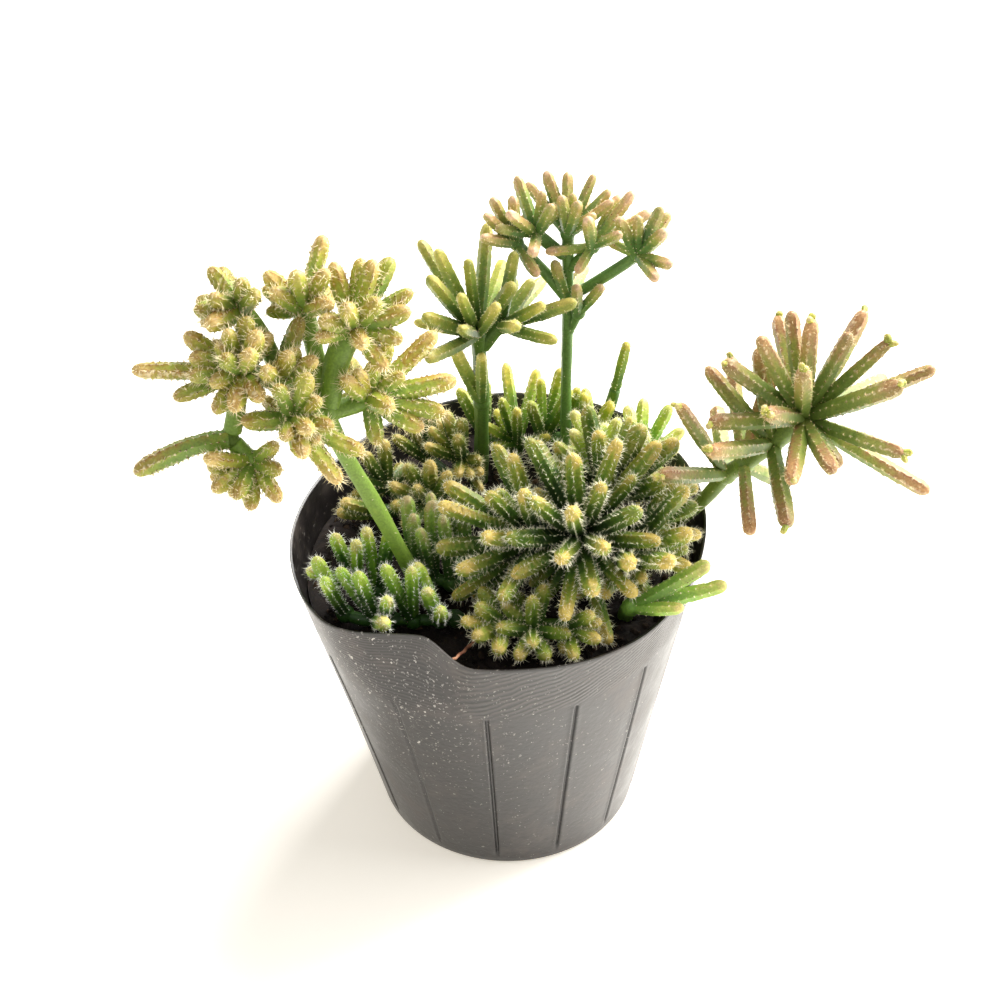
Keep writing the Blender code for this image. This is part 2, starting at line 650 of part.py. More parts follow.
def draw_tube(name, line, radius, collection, round_section=False):
    """A stem: a curve along its line with a round section and closed ends, made a mesh."""
    curve = bpy.data.curves.new(name, "CURVE")
    curve.dimensions = "3D"
    curve.bevel_depth = radius * MM
    curve.bevel_resolution = 1 if round_section or len(line) > LONG_STEM else 0
    curve.use_fill_caps = True
    spline = curve.splines.new("POLY")
    spline.points.add(len(line) - 1)
    for point, place in zip(spline.points, line):
        point.co = (*(float(value) * MM for value in place), 1)
    tube = bpy.data.objects.new(name, curve)
    collection.objects.link(tube)
    mesh = evaluated_mesh(tube)
    bpy.data.objects.remove(tube)
    shape = bmesh.new()
    shape.from_mesh(mesh)
    bmesh.ops.remove_doubles(shape, verts=shape.verts, dist=1e-6)
    bmesh.ops.recalc_face_normals(shape, faces=shape.faces)
    bmesh.ops.triangulate(shape, faces=shape.faces)
    shape.to_mesh(mesh)
    shape.free()
    obj = bpy.data.objects.new(name, mesh)
    collection.objects.link(obj)
    return obj


def keep_outer_skin(mesh):
    """Keeps the largest skin of the mesh: a sealed hollow is filled, and a loose scrap goes."""
    shape = bmesh.new()
    shape.from_mesh(mesh)
    bmesh.ops.triangulate(shape, faces=shape.faces)
    skins = []
    unseen = set(shape.verts)
    while unseen:
        front = [unseen.pop()]
        skin = []
        while front:
            vertex = front.pop()
            skin.append(vertex)
            for edge in vertex.link_edges:
                far = edge.other_vert(vertex)
                if far in unseen:
                    unseen.remove(far)
                    front.append(far)
        skins.append(skin)
    skins.sort(key=len)
    for skin in skins[:-1]:
        bmesh.ops.delete(shape, geom=skin, context="VERTS")
    shape.to_mesh(mesh)
    shape.free()


def fuse(name, pieces, repeats, parts, material):
    """Joins a spray's stems, hubs and shoots into one skin, and removes the loose ones."""
    body = pieces[0]
    repeats.objects.unlink(body)
    parts.objects.link(body)
    union = body.modifiers.new("joined shoots", "BOOLEAN")
    union.operation = "UNION"
    union.operand_type = "COLLECTION"
    union.collection = repeats
    union.solver = "MANIFOLD"
    joined = evaluated_mesh(body)
    keep_outer_skin(joined)
    body.modifiers.clear()
    body.data = joined
    body.name = name
    joined.name = name
    joined.materials.clear()
    joined.materials.append(material)
    for piece in pieces[1:]:
        bpy.data.objects.remove(piece)


def build_spray(name, grown, parts, material):
    """One plant node: its stems, a hub for each whorl, and its shoots."""
    habit = SPRAYS[name]
    repeats = new_collection(name + " pieces")
    dice = random.Random(habit["seed"] + TURN_SEED)
    pieces = []
    for radius, points in habit["stems"]:
        pieces.append(draw_tube(name + " stem", smooth_line(points, STEM_STEP), radius, repeats))
    for hub, chosen, _ in habit["whorls"]:
        if len(chosen) < DENSE_WHORL:
            continue
        swell = HUB_SWELL * habit["radius"]
        pieces.append(draw_hub(name + " hub", on_stem(habit, hub), swell, dice.uniform(0, 1), repeats))
    for spray, kind, _, line, radius in grown:
        if spray == name and kind != "stem":
            turn = dice.uniform(0, 2 * math.pi)
            pieces.append(draw_shoot(name + " shoot", line, radius, turn, repeats))
    fuse(name, pieces, repeats, parts, material)
    bpy.data.collections.remove(repeats)


def turned(name, profile, steps, collection):
    """A closed profile of (radius, height) points in the XZ plane, turned about Z and made a mesh."""
    shape = bmesh.new()
    points = [shape.verts.new((radius * MM, 0, height * MM)) for radius, height in profile]
    for start, end in zip(points, points[1:]):
        shape.edges.new((start, end))
    mesh = bpy.data.meshes.new(name)
    shape.to_mesh(mesh)
    shape.free()
    obj = bpy.data.objects.new(name, mesh)
    collection.objects.link(obj)
    screw = obj.modifiers.new("turning", "SCREW")
    screw.steps = steps
    screw.render_steps = steps
    screw.use_merge_vertices = True
    screw.merge_threshold = 1e-6
    solid = evaluated_mesh(obj)
    obj.modifiers.clear()
    obj.data = solid
    return obj


def cut(obj, cutters, name):
    difference = obj.modifiers.new(name, "BOOLEAN")
    difference.operation = "DIFFERENCE"
    difference.operand_type = "COLLECTION"
    difference.collection = cutters


def build_pot(parts, cutters):
    """A thin shell with grooves down its side, a soft wavy rim and drain holes in its floor."""
    outer = [(BASE_RADIUS, height) for height in OUTER_ROWS]
    inner = [(BASE_RADIUS - WALL, height) for height in INNER_ROWS]
    floor = [(0, FLOOR), (BASE_RADIUS - WALL, FLOOR)]
    profile = [*floor, *inner[::-1], *outer[::-1], (BASE_RADIUS - POT_EDGE, 0), (0, 0)]
    columns = len(SECTOR_COLUMNS)
    pot = turned("pot", profile, columns * RIBS, parts)
    column_turn = 2 * math.pi / (columns * RIBS)
    for vertex in pot.data.vertices:
        x, y, z = (value / MM for value in vertex.co)
        reach = math.hypot(x, y)
        if reach < WALL:
            continue
        rib, column = divmod(round(math.atan2(y, x) / column_turn) % (columns * RIBS), columns)
        angle = RIB_TURN + rib * 2 * math.pi / RIBS + math.radians(SECTOR_COLUMNS[column])
        angle = math.atan2(math.sin(angle), math.cos(angle))
        moved = pot_point(angle, z, BASE_RADIUS - reach)
        vertex.co = tuple(value * MM for value in moved)
    holes = new_collection("drain cutters")
    for number in range(DRAIN_HOLES):
        turn = 2 * math.pi * number / DRAIN_HOLES
        shape = bmesh.new()
        bmesh.ops.create_cone(
            shape, cap_ends=True, segments=DRAIN_SIDES,
            radius1=DRAIN_RADIUS, radius2=DRAIN_RADIUS, depth=4 * FLOOR,
        )
        middle = (DRAIN_RING * math.cos(turn), DRAIN_RING * math.sin(turn), FLOOR / 2)
        bmesh.ops.translate(shape, vec=middle, verts=shape.verts)
        mesh_object(f"drain_cutter_{number + 1}", shape, holes)
    as_cutters(holes, cutters)
    cut(pot, holes, "drain holes")
    pot.data.materials.append(principled("soft black vinyl", "3b3739", 0.5))
    pot.data.shade_smooth()
    pot.data.set_sharp_from_angle(angle=math.radians(35))


def as_cutters(collection, cutters):
    """Hides a set of cutters and files it under the others."""
    bpy.context.scene.collection.children.unlink(collection)
    cutters.children.link(collection)
    for obj in collection.objects:
        obj.hide_render = True
        obj.display_type = "WIRE"


def soil_height(x, y):
    """The lumps of the soil's surface."""
    across, along, small = (math.sin(a * x + b * y + start) for a, b, start in SOIL_WAVES)
    return SOIL_TOP + SOIL_LUMP * (across * along + SMALL_LUMP * small) / (1 + SMALL_LUMP)


def build_soil(parts, cutters):
    """The body of soil that fills the pot, with a plain hole for each stem that stands in it."""
    top = [(0, SOIL_TOP)] + [(share * BASE_RADIUS, SOIL_TOP) for share in SOIL_RINGS]
    foot = FLOOR + GAP
    profile = [*top, (BASE_RADIUS, SOIL_TOP - SOIL_SHOULDER), (BASE_RADIUS, foot), (0, foot)]
    soil = turned("soil", profile, SOIL_COLUMNS, parts)
    for vertex in soil.data.vertices:
        x, y, z = (value / MM for value in vertex.co)
        share = math.hypot(x, y) / BASE_RADIUS
        angle = math.atan2(y, x)
        edge = pot_point(angle, z, WALL + SOIL_INSET)
        middle = [offset * z / POT_HEIGHT for offset in RIM_OFFSET]
        x = middle[0] + (edge[0] - middle[0]) * share
        y = middle[1] + (edge[1] - middle[1]) * share
        if z > SOIL_TOP - SOIL_SHOULDER / 2:
            z = soil_height(x, y)
        vertex.co = (x * MM, y * MM, z * MM)
    holes = new_collection("stem hole cutters")
    feet = [(name, habit["stems"][0]) for name, habit in SPRAYS.items()]
    feet.append(("rootlet", (ROOTLET_RADIUS, ROOTLET)))
    for name, (radius, points) in feet:
        line = smooth_line(points, STEM_STEP)
        line = line[:int(np.argmax(line[:, 2] > HOLE_TOP)) + 1]
        down = unit(line[0] - line[1])
        line = np.vstack([line[0] + down * HOLE_SPARE, line])
        draw_tube("hole_" + name, line, radius + HOLE_SPARE, holes, round_section=True)
    as_cutters(holes, cutters)
    cut(soil, holes, "stem holes")
    soil.data.materials.append(principled("peat and bark soil", "2b221d", 0.95))


def build_rootlet(parts):
    rootlet = draw_tube("dry_rootlet", smooth_line(ROOTLET, ROOTLET_STEP), ROOTLET_RADIUS, parts)
    rootlet.data.materials.append(principled("dry root", "b98263", 0.8))


def main():
    clear_scene()
    parts = new_collection("potted rhipsalis")
    cutters = new_collection("cutters")
    grown = grow()
    for name, habit in SPRAYS.items():
        build_spray(name, grown, parts, principled(habit["skin"], habit["colour"], 0.55))
    build_rootlet(parts)
    build_pot(parts, cutters)
    build_soil(parts, cutters)


main()
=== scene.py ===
import functools
import math
import random

import bmesh
import bpy
import numpy as np
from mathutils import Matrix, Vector


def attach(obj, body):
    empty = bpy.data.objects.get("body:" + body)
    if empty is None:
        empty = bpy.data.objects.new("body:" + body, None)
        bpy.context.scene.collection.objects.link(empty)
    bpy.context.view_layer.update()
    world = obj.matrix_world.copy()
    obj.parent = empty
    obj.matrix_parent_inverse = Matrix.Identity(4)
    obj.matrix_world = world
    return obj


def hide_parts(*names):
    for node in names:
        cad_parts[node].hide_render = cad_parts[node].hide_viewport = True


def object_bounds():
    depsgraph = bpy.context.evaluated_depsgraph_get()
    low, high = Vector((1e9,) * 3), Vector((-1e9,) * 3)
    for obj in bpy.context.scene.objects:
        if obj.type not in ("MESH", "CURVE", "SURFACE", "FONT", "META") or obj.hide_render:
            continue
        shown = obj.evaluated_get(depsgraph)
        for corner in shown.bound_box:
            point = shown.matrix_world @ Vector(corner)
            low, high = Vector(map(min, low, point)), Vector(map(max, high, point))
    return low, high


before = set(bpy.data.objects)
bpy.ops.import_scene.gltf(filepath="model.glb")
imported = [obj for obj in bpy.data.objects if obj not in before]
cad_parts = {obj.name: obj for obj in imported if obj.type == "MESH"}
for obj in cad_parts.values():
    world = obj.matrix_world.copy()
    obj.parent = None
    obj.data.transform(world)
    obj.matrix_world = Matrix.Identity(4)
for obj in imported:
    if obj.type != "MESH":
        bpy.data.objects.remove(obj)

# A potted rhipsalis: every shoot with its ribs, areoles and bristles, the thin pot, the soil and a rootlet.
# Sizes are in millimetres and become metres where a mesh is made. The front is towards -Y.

CAD_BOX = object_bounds()
MM = 0.001
LOW_CORNER, HIGH_CORNER = (np.array(corner) / MM for corner in CAD_BOX)

# The pot
POT_HEIGHT = 76.0
BASE_RADIUS = 29.5
RIM_RADIUS = 45.0
WALL = 1.2
FLOOR = 1.2
OVAL_SHARE = 0.054
OVAL_TURN = math.radians(57)
RIM_OFFSET = (-1.7, -0.3)
RIM_BAND = 16.0
POT_EDGE = 0.8
RIBS = 14
RIB_TURN = math.radians(-94.2)
RIB_DEPTH = 0.55
RIB_FOOT = 4.0
RIB_TOP = 61.0

# The soft rim, with the front at a bearing of -90 degrees. Each change has a size and a span, as where
# it starts and where it is full, from either end
PRESS = 4.9
PRESS_LIFT = 2.1
PRESS_SPAN = ((-96, -112), (-142, -111))
RISE = 3.1
RISE_SPAN = ((-42, -88), (-154, -106))
SAG = -2.0
SAG_SPAN = ((-110, -65), (25, -20))

# What shows of the pot
THIN_WALL = 0.75
RIM_ROUND = 0.3
GROOVE_HALF = 0.36
GROOVE_LIPS = ((-0.8, 0.16), (0.85, 0.06))
GROOVE_LIP_HALF = 0.3
GROOVE_END = 0.8
# How far the grooves are darkened, as painted shade
GROOVE_SHADE = 0.85
POT_CREASE = math.radians(50)
GROOVE_SHARES = (1.0, 1.0, 1.0, 0.9, 1.0, 0.8, 1.0, 0.9, 1.0, 1.0, 0.8, 0.9, 1.0, 0.35)
COLUMN_TURNS = (
    0, 0.2, 0.4, 0.6, 0.85, 1.15, 1.5, 2, 2.8, 4, 5.5, 7.1, 8.7, 10.3, 11.9, 13.5, 15.1, 16.7, 18.3, 19.9,
    21.4, 22.7, 23.6, 24.2, 24.55, 24.85, 25.1, 25.3, 25.5,
)
BAND_STEP = 0.34
SIDE_STEP = 2.2
FLOW_DEPTH = 0.05
FLOW_WELD = -104.0
FLOW_RIGHT = (1.35, 0.4)
FLOW_LEFT = (0.68, 0.04)
FLOW_FADE = 50
FLOW_STARTS = 1.2
FLOW_ENDS = 4
LEFT_STRENGTH = 0.6
WELD_SPAN = 5
SAG_WAVES = ((3, 0.35, 0.8), (5, 0.2, 2.2), (8, 0.1, 4.1))
# Layers of water spots: cells a metre, size in a cell, how many there are away from and near the splash, and
# how white they are
SPOTS = (
    (1500.0, 0.3, 0.2, 0.6, 0.3), (1000.0, 0.26, 0.07, 0.36, 0.55), (620.0, 0.22, 0.03, 0.26, 0.8),
    (330.0, 0.18, 0.012, 0.14, 0.85),
)
SPLASH = (-28, -33, 63)
SPLASH_REACH = 50

# Soft lamps: place, size and watts, with the light of the sky and of the floor, in metres
LAMPS = (
    ("window", (0.5, 0.5, 0.75), 0.8, 32.0),
    ("side window", (0.95, 0.05, 0.4), 0.7, 9.5),
    ("room", (-0.7, -0.5, 0.7), 1.0, 3.0),
)
SKY_LIGHT = 0.47
FLOOR_GLOW = 0.4
LAMP_TINT = (1.0, 0.985, 0.96)
LAMP_AIM = Vector((0, 0, 0.07))
FLOOR_SIZE = 4000

# The drain holes in its floor
DRAIN_HOLES = 6
DRAIN_RADIUS = 2.5
DRAIN_RING = 17.0
DRAIN_SIDES = 28

# What shows of the soil
SOIL_TOP = 66.0
SOIL_LUMP = 0.9
SOIL_WAVES = ((0.31, 0.0, 1.3), (0.0, 0.27, -0.4), (0.62, -0.5, 2.1))
SMALL_LUMP = 0.6
SOIL_RINGS = 34
SOIL_COLUMNS = 132
SOIL_ROUGHNESS = 0.55
SOIL_SHRINK = 0.25
SOIL_SEED = 5
GRAIN_SEED = 31
GRAINS = 1150
GRAIN_SIZES = (0.35, 0.5, 0.5, 0.7, 0.9, 1.3)
FIBRES = 60
FIBRE_LENGTH = (2.5, 5)
FIBRE_RADIUS = 0.13
FIBRE_SIDES = 5
FIBRE_RINGS = 8

# Room between pieces that touch, and to spare beside the soft wall
GAP = 0.3
PRESS_SPARE = 0.4

# The eye that the bearings of the shoots were read from, and the slope of its sight
EYE = np.array([-1.8, -304.2, 342.2])
AIM = np.array([-1.8, 0.0, 82.4])
LENS = 68.8
SENSOR = 36
SIGHT_SLOPE = math.radians(40.5)
ACROSS = np.array([1.0, 0.0, 0.0])
UPWARDS = np.array([0.0, math.sin(SIGHT_SLOPE), math.cos(SIGHT_SLOPE)])

# Each spray: shoot radius, usual shoot length, stems as (radius, points), and whorls.
# A whorl is a hub, its shoots as (bearing, length seen) with a length of their own where it isn't the usual
# one, and how many more fill it. A minus length leans away from the eye.
SPRAYS = {
    "right_low_stems": dict(
        seed=17, radius=1.6, length=20, bend=1.6,
        stems=[
            (1.6, [(24, -17, 58), (24.2, -18, 66), (24.4, -21, 71), (24.8, -24, 74.5)]),
        ],
        whorls=[
            ((24.8, -24, 74.5), [(4, 19.5), (-7, 10.5, 11.5), (17, 18.5, 19)], 0),
        ],
    ),
    "right_spray": dict(
        seed=11, radius=1.85, length=23, bend=1.0,
        stems=[
            (1.6, [(32, 11, 58), (34, 9, 66), (38, 6, 73), (42, 4, 80), (45.5, 3, 87)]),
            (1.8, [(45.5, 3, 87), (48.7, 2, 90.5), (54, 1, 96.5)]),
            (1.9, [(54, 1, 96.5), (60, 0, 105)]),
        ],
        whorls=[
            ((60, 0, 105), [(105, -21), (120, 17), (141, 18.5), (85, 18.5), (90, 8), (66, 18), (59, 24),
                            (49, 20), (16, 19.5), (24, -18.5), (19, 27.5), (-22, 21), (-32, 29.5),
                            (-63, 12.5), (-94, 13.5), (180, 7), (185, 18.4)], 1),
            ((54, 1, 96.5), [(132, 19.6), (-80, 17), (190, 12.5)], 1),
            ((48.7, 2, 90.5), [(97, -22), (-85, 14.6), (-37, -8)], 1),
            ((45.5, 3, 87), [(184, 13.2), (-75, -11.8), (126, 16.3), (99, -13.8)], 0),
        ],
    ),
    "left_spray": dict(
        seed=12, radius=1.9, length=10.5, bend=0.9,
        stems=[
            (1.65, [(-14, -12, 57), (-17, -14.5, 67), (-22, -16, 82.5), (-27.5, -17, 98),
                    (-32, -18, 110), (-34.5, -20, 121)]),
            (1.9, [(-34.5, -20, 121), (-29, -17, 121), (-26, -15, 121.5)]),
            (2.4, [(-34.5, -20, 121), (-32, -16, 131), (-28.5, -13, 137)]),
            (1.9, [(-34.5, -20, 121), (-41, -25, 123.3)]),
            (2.0, [(-34.5, -20, 121), (-42, -19, 127), (-49.5, -20, 131)]),
            (1.8, [(-34.5, -20, 121), (-36.5, -14, 131), (-38.5, -10, 139)]),
            (1.8, [(-42, -19, 127), (-46, -14, 134), (-50.5, -11, 139.5)]),
            (1.7, [(-49.5, -20, 131), (-51, -24, 123.5), (-52, -26, 119.5)]),
            (1.7, [(-52, -26, 119.5), (-47.5, -27, 114)]),
            (2.0, [(-52, -26, 119.5), (-58, -27, 119), (-64, -27.5, 116.5), (-70.5, -28, 113)]),
        ],
        whorls=[
            ((-26, -15, 121.5), [(150, 8.5), (68, 10.5), (42, 17.5), (9, 17), (-14, 15), (-33, 12.5),
                                 (-80, 10), (-32, 5)], 1),
            ((-41, -25, 123.3), [(186, 9.5), (-16, 7.5), (-55, 15.5), (-28, 15), (-75, 8), (118, 6),
                                 (70, 8), (-40, 4)], 0),
            ((-49.5, -20, 131), [(182, 20), (205, 13.8), (191, 9.6), (169, 9.6), (150, 12), (240, 10.3),
                                 (112, 7), (64, 6.8), (90, 9), (155, 3.5), (56, 3), (-60, 7), (-100, 9)], 0),
            ((-43, -19, 128), [(84, 12.3), (62, 5), (-65, 5.8), (25, 8), (150, 5)], 0),
            ((-47.5, -27, 114), [(180, 8.8), (219, 9.5), (247, 8), (268, 9.8), (-58, 9.5)], 0),
            ((-38.5, -10, 139), [(74, 13.5), (140, 9.2), (104, 6), (57, 7.5), (5, 5), (165, 5), (-60, 4)], 0),
            ((-50.5, -11, 139.5), [(85, 4.6), (55, 5.6), (166, 5.5), (186, 8.4), (221, 5.7), (-90, 5)], 1),
            ((-28.5, -13, 137), [(83, 12), (59, 14), (72, 12.6), (109, 11.8), (28, 12.5), (12, 10.8),
                                 (-20, 9.7), (-56, 10.7), (122, 4.8), (160, 3.8), (194, 6), (42, 6)], 0),
        ],
    ),
    "back_spray": dict(
        seed=13, radius=1.3, length=11.5, bend=0.6,
        stems=[
            (1.2, [(13, 29, 57), (13, 28.5, 67), (12.6, 28, 89), (12.5, 28, 105), (12.3, 28, 114)]),
            (1.3, [(12.3, 28, 114), (12.2, 28, 123), (12, 28, 131)]),
            (1.2, [(12.3, 28, 114), (20, 26, 121), (27, 24, 128)]),
            (1.1, [(12.2, 28, 121), (17.5, 25, 129.5)]),
            (1.3, [(12.2, 28, 124), (5, 26.5, 131.5)]),
            (1.2, [(12.3, 28, 114), (7, 27, 122), (1, 25.5, 130)]),
            (1.1, [(13, 28, 106), (15, 27, 112)]),
        ],
        whorls=[
            ((12, 28, 131), [(110, 13), (90, 12), (65, 12.7), (58, -12), (130, 13), (40, 11), (100, 7),
                             (75, 6)], 1),
            ((27, 24, 128), [(90, 7.2), (38, 7), (-55, 6.4), (-20, 7), (63, 9), (120, 8)], 1),
            ((17.5, 25, 129.5), [(70, 11.5), (52, 13.5), (35, 13.5), (20, 6), (100, 5)], 0),
            ((5, 26.5, 131.5), [(147, 6.8), (110, 12), (-100, 4.5), (175, 8), (60, 6)], 0),
            ((1, 25.5, 130), [(140, 6), (175, 7), (95, 9), (120, 10)], 0),
            ((15, 27, 112), [(45, 7), (95, 5)], 0),
            ((12.3, 28, 114), [(120, 9), (60, -8)], 0),
        ],
    ),
    "back_left_spray": dict(
        seed=14, radius=1.5, length=21, bend=1.0,
        stems=[
            (1.6, [(-6, 27, 57), (-6, 26, 67), (-5.8, 22, 84), (-5.8, 20, 98), (-6.4, 18, 113)]),
            (1.5, [(-6.1, 19, 107), (-3, 19, 112), (-1, 19, 114)]),
        ],
        whorls=[
            ((-6.4, 18, 113.5), [(123, 22), (117, 18), (104, 14), (133, 14.2), (85, -22), (70, -15.7),
                                 (117, 7.6), (52, 6), (160, 11), (178, 9), (-150, 9)], 1),
            ((-1, 19, 114), [(15, 15.5), (22, 9), (-10, 9), (-15, 12), (45, -13)], 1),
            ((-5.8, 21, 92), [(112, 13), (96, 9)], 0),
        ],
    ),
    "centre_rosette": dict(
        seed=15, radius=1.9, length=24, bend=1.4,
        stems=[
            (2.2, [(12, 1, 58), (12.5, -1, 67), (14, -5, 75), (15, -8, 80)]),
            (2.0, [(12.5, -1, 69), (8, -4, 74), (6, -7, 78)]),
            (2.0, [(13, -2, 71), (20, -6, 75), (24, -11, 76)]),
            (2.0, [(13, -2, 71), (18, 3, 77), (21, 5, 80)]),
        ],
        whorls=[
            ((15, -8, 80), [(120, 21), (148, 11), (67, 19.4), (48, 24), (18, 24.4), (-8, 15.8),
                            (-19, 24), (-8, 25), (-79, 12.6), (-76, 26), (-125, 7), (-146, 16.3),
                            (-37, 3), (64, 9.8), (46, 6.2), (4, 12), (90, 15), (105, 8), (-100, 18),
                            (-50, 17), (-30, 10), (170, 10)], 1),
            ((6, -7, 78), [(152, 22), (158, 21), (142, 13), (-172, 21), (-176, 11), (-143, 22),
                           (-155, 12), (120, 12), (-120, 12), (180, 16), (100, 14)], 1),
            ((24, -11, 76), [(15, 14), (-12, 16), (-30, 11), (-60, 12), (-85, 14), (35, 15),
                             (-45, 6)], 1),
            ((21, 5, 80), [(60, 15), (90, 12), (35, 18), (120, 10), (75, 6), (15, 15)], 1),
        ],
    ),
    "front_low_tuft": dict(
        seed=16, radius=1.7, length=11, bend=0.8,
        stems=[
            (1.8, [(4, -23, 59), (4, -24, 67), (5, -27, 71)]),
            (1.6, [(4.3, -24.5, 69.8), (-2, -25, 70.8)]),
            (1.6, [(4.3, -24.5, 69.8), (13, -26, 71)]),
        ],
        whorls=[
            ((5, -27, 71.5), [(90, 6), (-115, 7), (-65, 7), (180, 7), (5, 6), (-90, 5)], 1),
            ((-2, -25, 71), [(190, 9.5), (-150, 8), (150, 6), (-100, 5)], 0),
            ((13, -26, 71.5), [(-30, 8), (-80, 6), (-130, 6), (20, 5)], 0),
        ],
    ),
    "front_left_tuft": dict(
        seed=18, radius=1.6, length=14, bend=2.2,
        stems=[
            (1.5, [(-24, -19, 58), (-24, -20, 67), (-25, -21, 70)]),
            (1.3, [(-34.5, -20, 69.2), (-30, -22, 68.9), (-25, -22, 69.2), (-18, -22, 68.8),
                   (-10, -21.5, 68.8)]),
            (1.3, [(-25, -21, 70), (-25, -15, 69.2), (-32.5, -11, 69.4)]),
            (1.3, [(-25, -15, 69.2), (-20, -12, 69.4)]),
        ],
        whorls=[
            ((-33.6, -21, 70), [(122, 11.5), (128, 7)], 0),
            ((-32, -11.2, 70), [(120, 9.5), (165, 8.5), (98, 7)], 0),
            ((-27, -22, 70), [(131, 11.5), (116, 8.5), (-60, 3)], 0),
            ((-27, -13, 70), [(109, 11.5), (86, 10)], 0),
            ((-21, -12.5, 70), [(113, 9.5), (128, 6)], 0),
            ((-19.5, -22, 70), [(122, 11), (98, 9)], 0),
            ((-14.1, -22, 70), [(93, 11), (114, 7), (60, 6)], 0),
            ((-10.5, -21.5, 70), [(127, 6), (86, 8)], 0),
            ((-24.5, -22, 70.5), [(-90, 3), (75, 6)], 0),
        ],
    ),
    "front_middle_tuft": dict(
        seed=19, radius=1.6, length=17, bend=1.2,
        stems=[
            (1.5, [(-12, -7, 58), (-12, -7, 67), (-12, -7.5, 69.4)]),
            (1.3, [(-20, -8, 69.2), (-16, -9.5, 69), (-12, -11, 69), (-8, -11, 69), (-4.5, -9.5, 69.2)]),
            (1.3, [(-12, -11, 69), (-12, -7.5, 69.4), (-12, -4, 69.2)]),
        ],
        whorls=[
            ((-19.5, -8, 69.5), [(97, 15), (116, 11)], 0),
            ((-16, -9.5, 69.5), [(90, 15), (106, 11)], 0),
            ((-12, -11, 69.5), [(84, 13), (96, 16)], 0),
            ((-8, -11, 69.5), [(88, 15), (74, 11)], 0),
            ((-4.5, -9.5, 69.5), [(82, 14)], 0),
            ((-12, -5, 69.5), [(100, 13), (80, 13)], 0),
        ],
    ),
    "mid_left_tuft": dict(
        seed=20, radius=1.55, length=12.5, bend=1.0,
        stems=[
            (1.6, [(-17, 12, 58), (-17, 12, 67), (-17, 11, 73)]),
            (1.5, [(-17, 12, 70), (-24, 15, 71), (-27, 18, 72)]),
            (1.5, [(-17, 12, 70), (-12, 18, 73), (-10, 23, 76)]),
            (1.5, [(-12, 18, 73), (-18, 24, 74)]),
            (1.4, [(-17, 12, 70), (-22, 10.5, 70.5), (-27.5, 9, 71)]),
        ],
        whorls=[
            ((-17, 11, 74), [(160, 9), (190, 8), (125, 9), (90, 8), (60, 7), (220, 8), (140, 4)], 0),
            ((-27, 18, 73), [(170, 8), (200, 8), (130, 8), (95, 9)], 0),
            ((-27.5, 9, 71), [(171, 9.5), (184, 10.5)], 0),
            ((-10, 23, 77), [(140, 9), (110, 10), (80, 9), (165, 8), (100, 4)], 0),
            ((-18, 24, 75), [(150, 9), (120, 10), (90, 8)], 0),
        ],
    ),
    "back_tuft": dict(
        seed=21, radius=1.45, length=16, bend=0.6,
        stems=[
            (1.5, [(2, 35, 58), (2, 34, 67), (2, 33, 71)]),
            (1.4, [(-6, 35.5, 71), (2, 33, 71), (10, 35, 71), (19, 34, 71)]),
            (1.3, [(19, 34, 71), (22.5, 34, 80), (24, 34, 87)]),
        ],
        whorls=[
            ((-5, 35, 71), [(105, 16), (90, 12), (120, 12)], 0),
            ((2, 33, 71.5), [(98, 18), (80, 17), (110, 10), (90, 7)], 1),
            ((8, 34.5, 71.5), [(75, 16), (92, 13), (60, 12), (110, 8)], 0),
            ((13.5, 35, 71.5), [(78, 11), (100, 8)], 0),
            ((19, 34, 71), [(62, 12), (100, 10)], 1),
            ((24, 34, 87), [(75, 9.5)], 0),
        ],
    ),
    "right_back_tuft": dict(
        seed=22, radius=1.6, length=14, bend=1.0,
        stems=[
            (1.5, [(28, 24, 58), (28, 24, 67), (29, 23, 74)]),
            (1.4, [(28, 24, 70), (22, 21, 73), (19, 20, 76)]),
        ],
        whorls=[
            ((29, 23, 75), [(60, 14), (85, 14), (110, 13), (35, 12), (135, 11), (75, 6), (20, 9)], 1),
            ((19, 20, 77), [(90, 11), (110, 12), (70, 10), (130, 10), (95, 4)], 1),
        ],
    ),
}

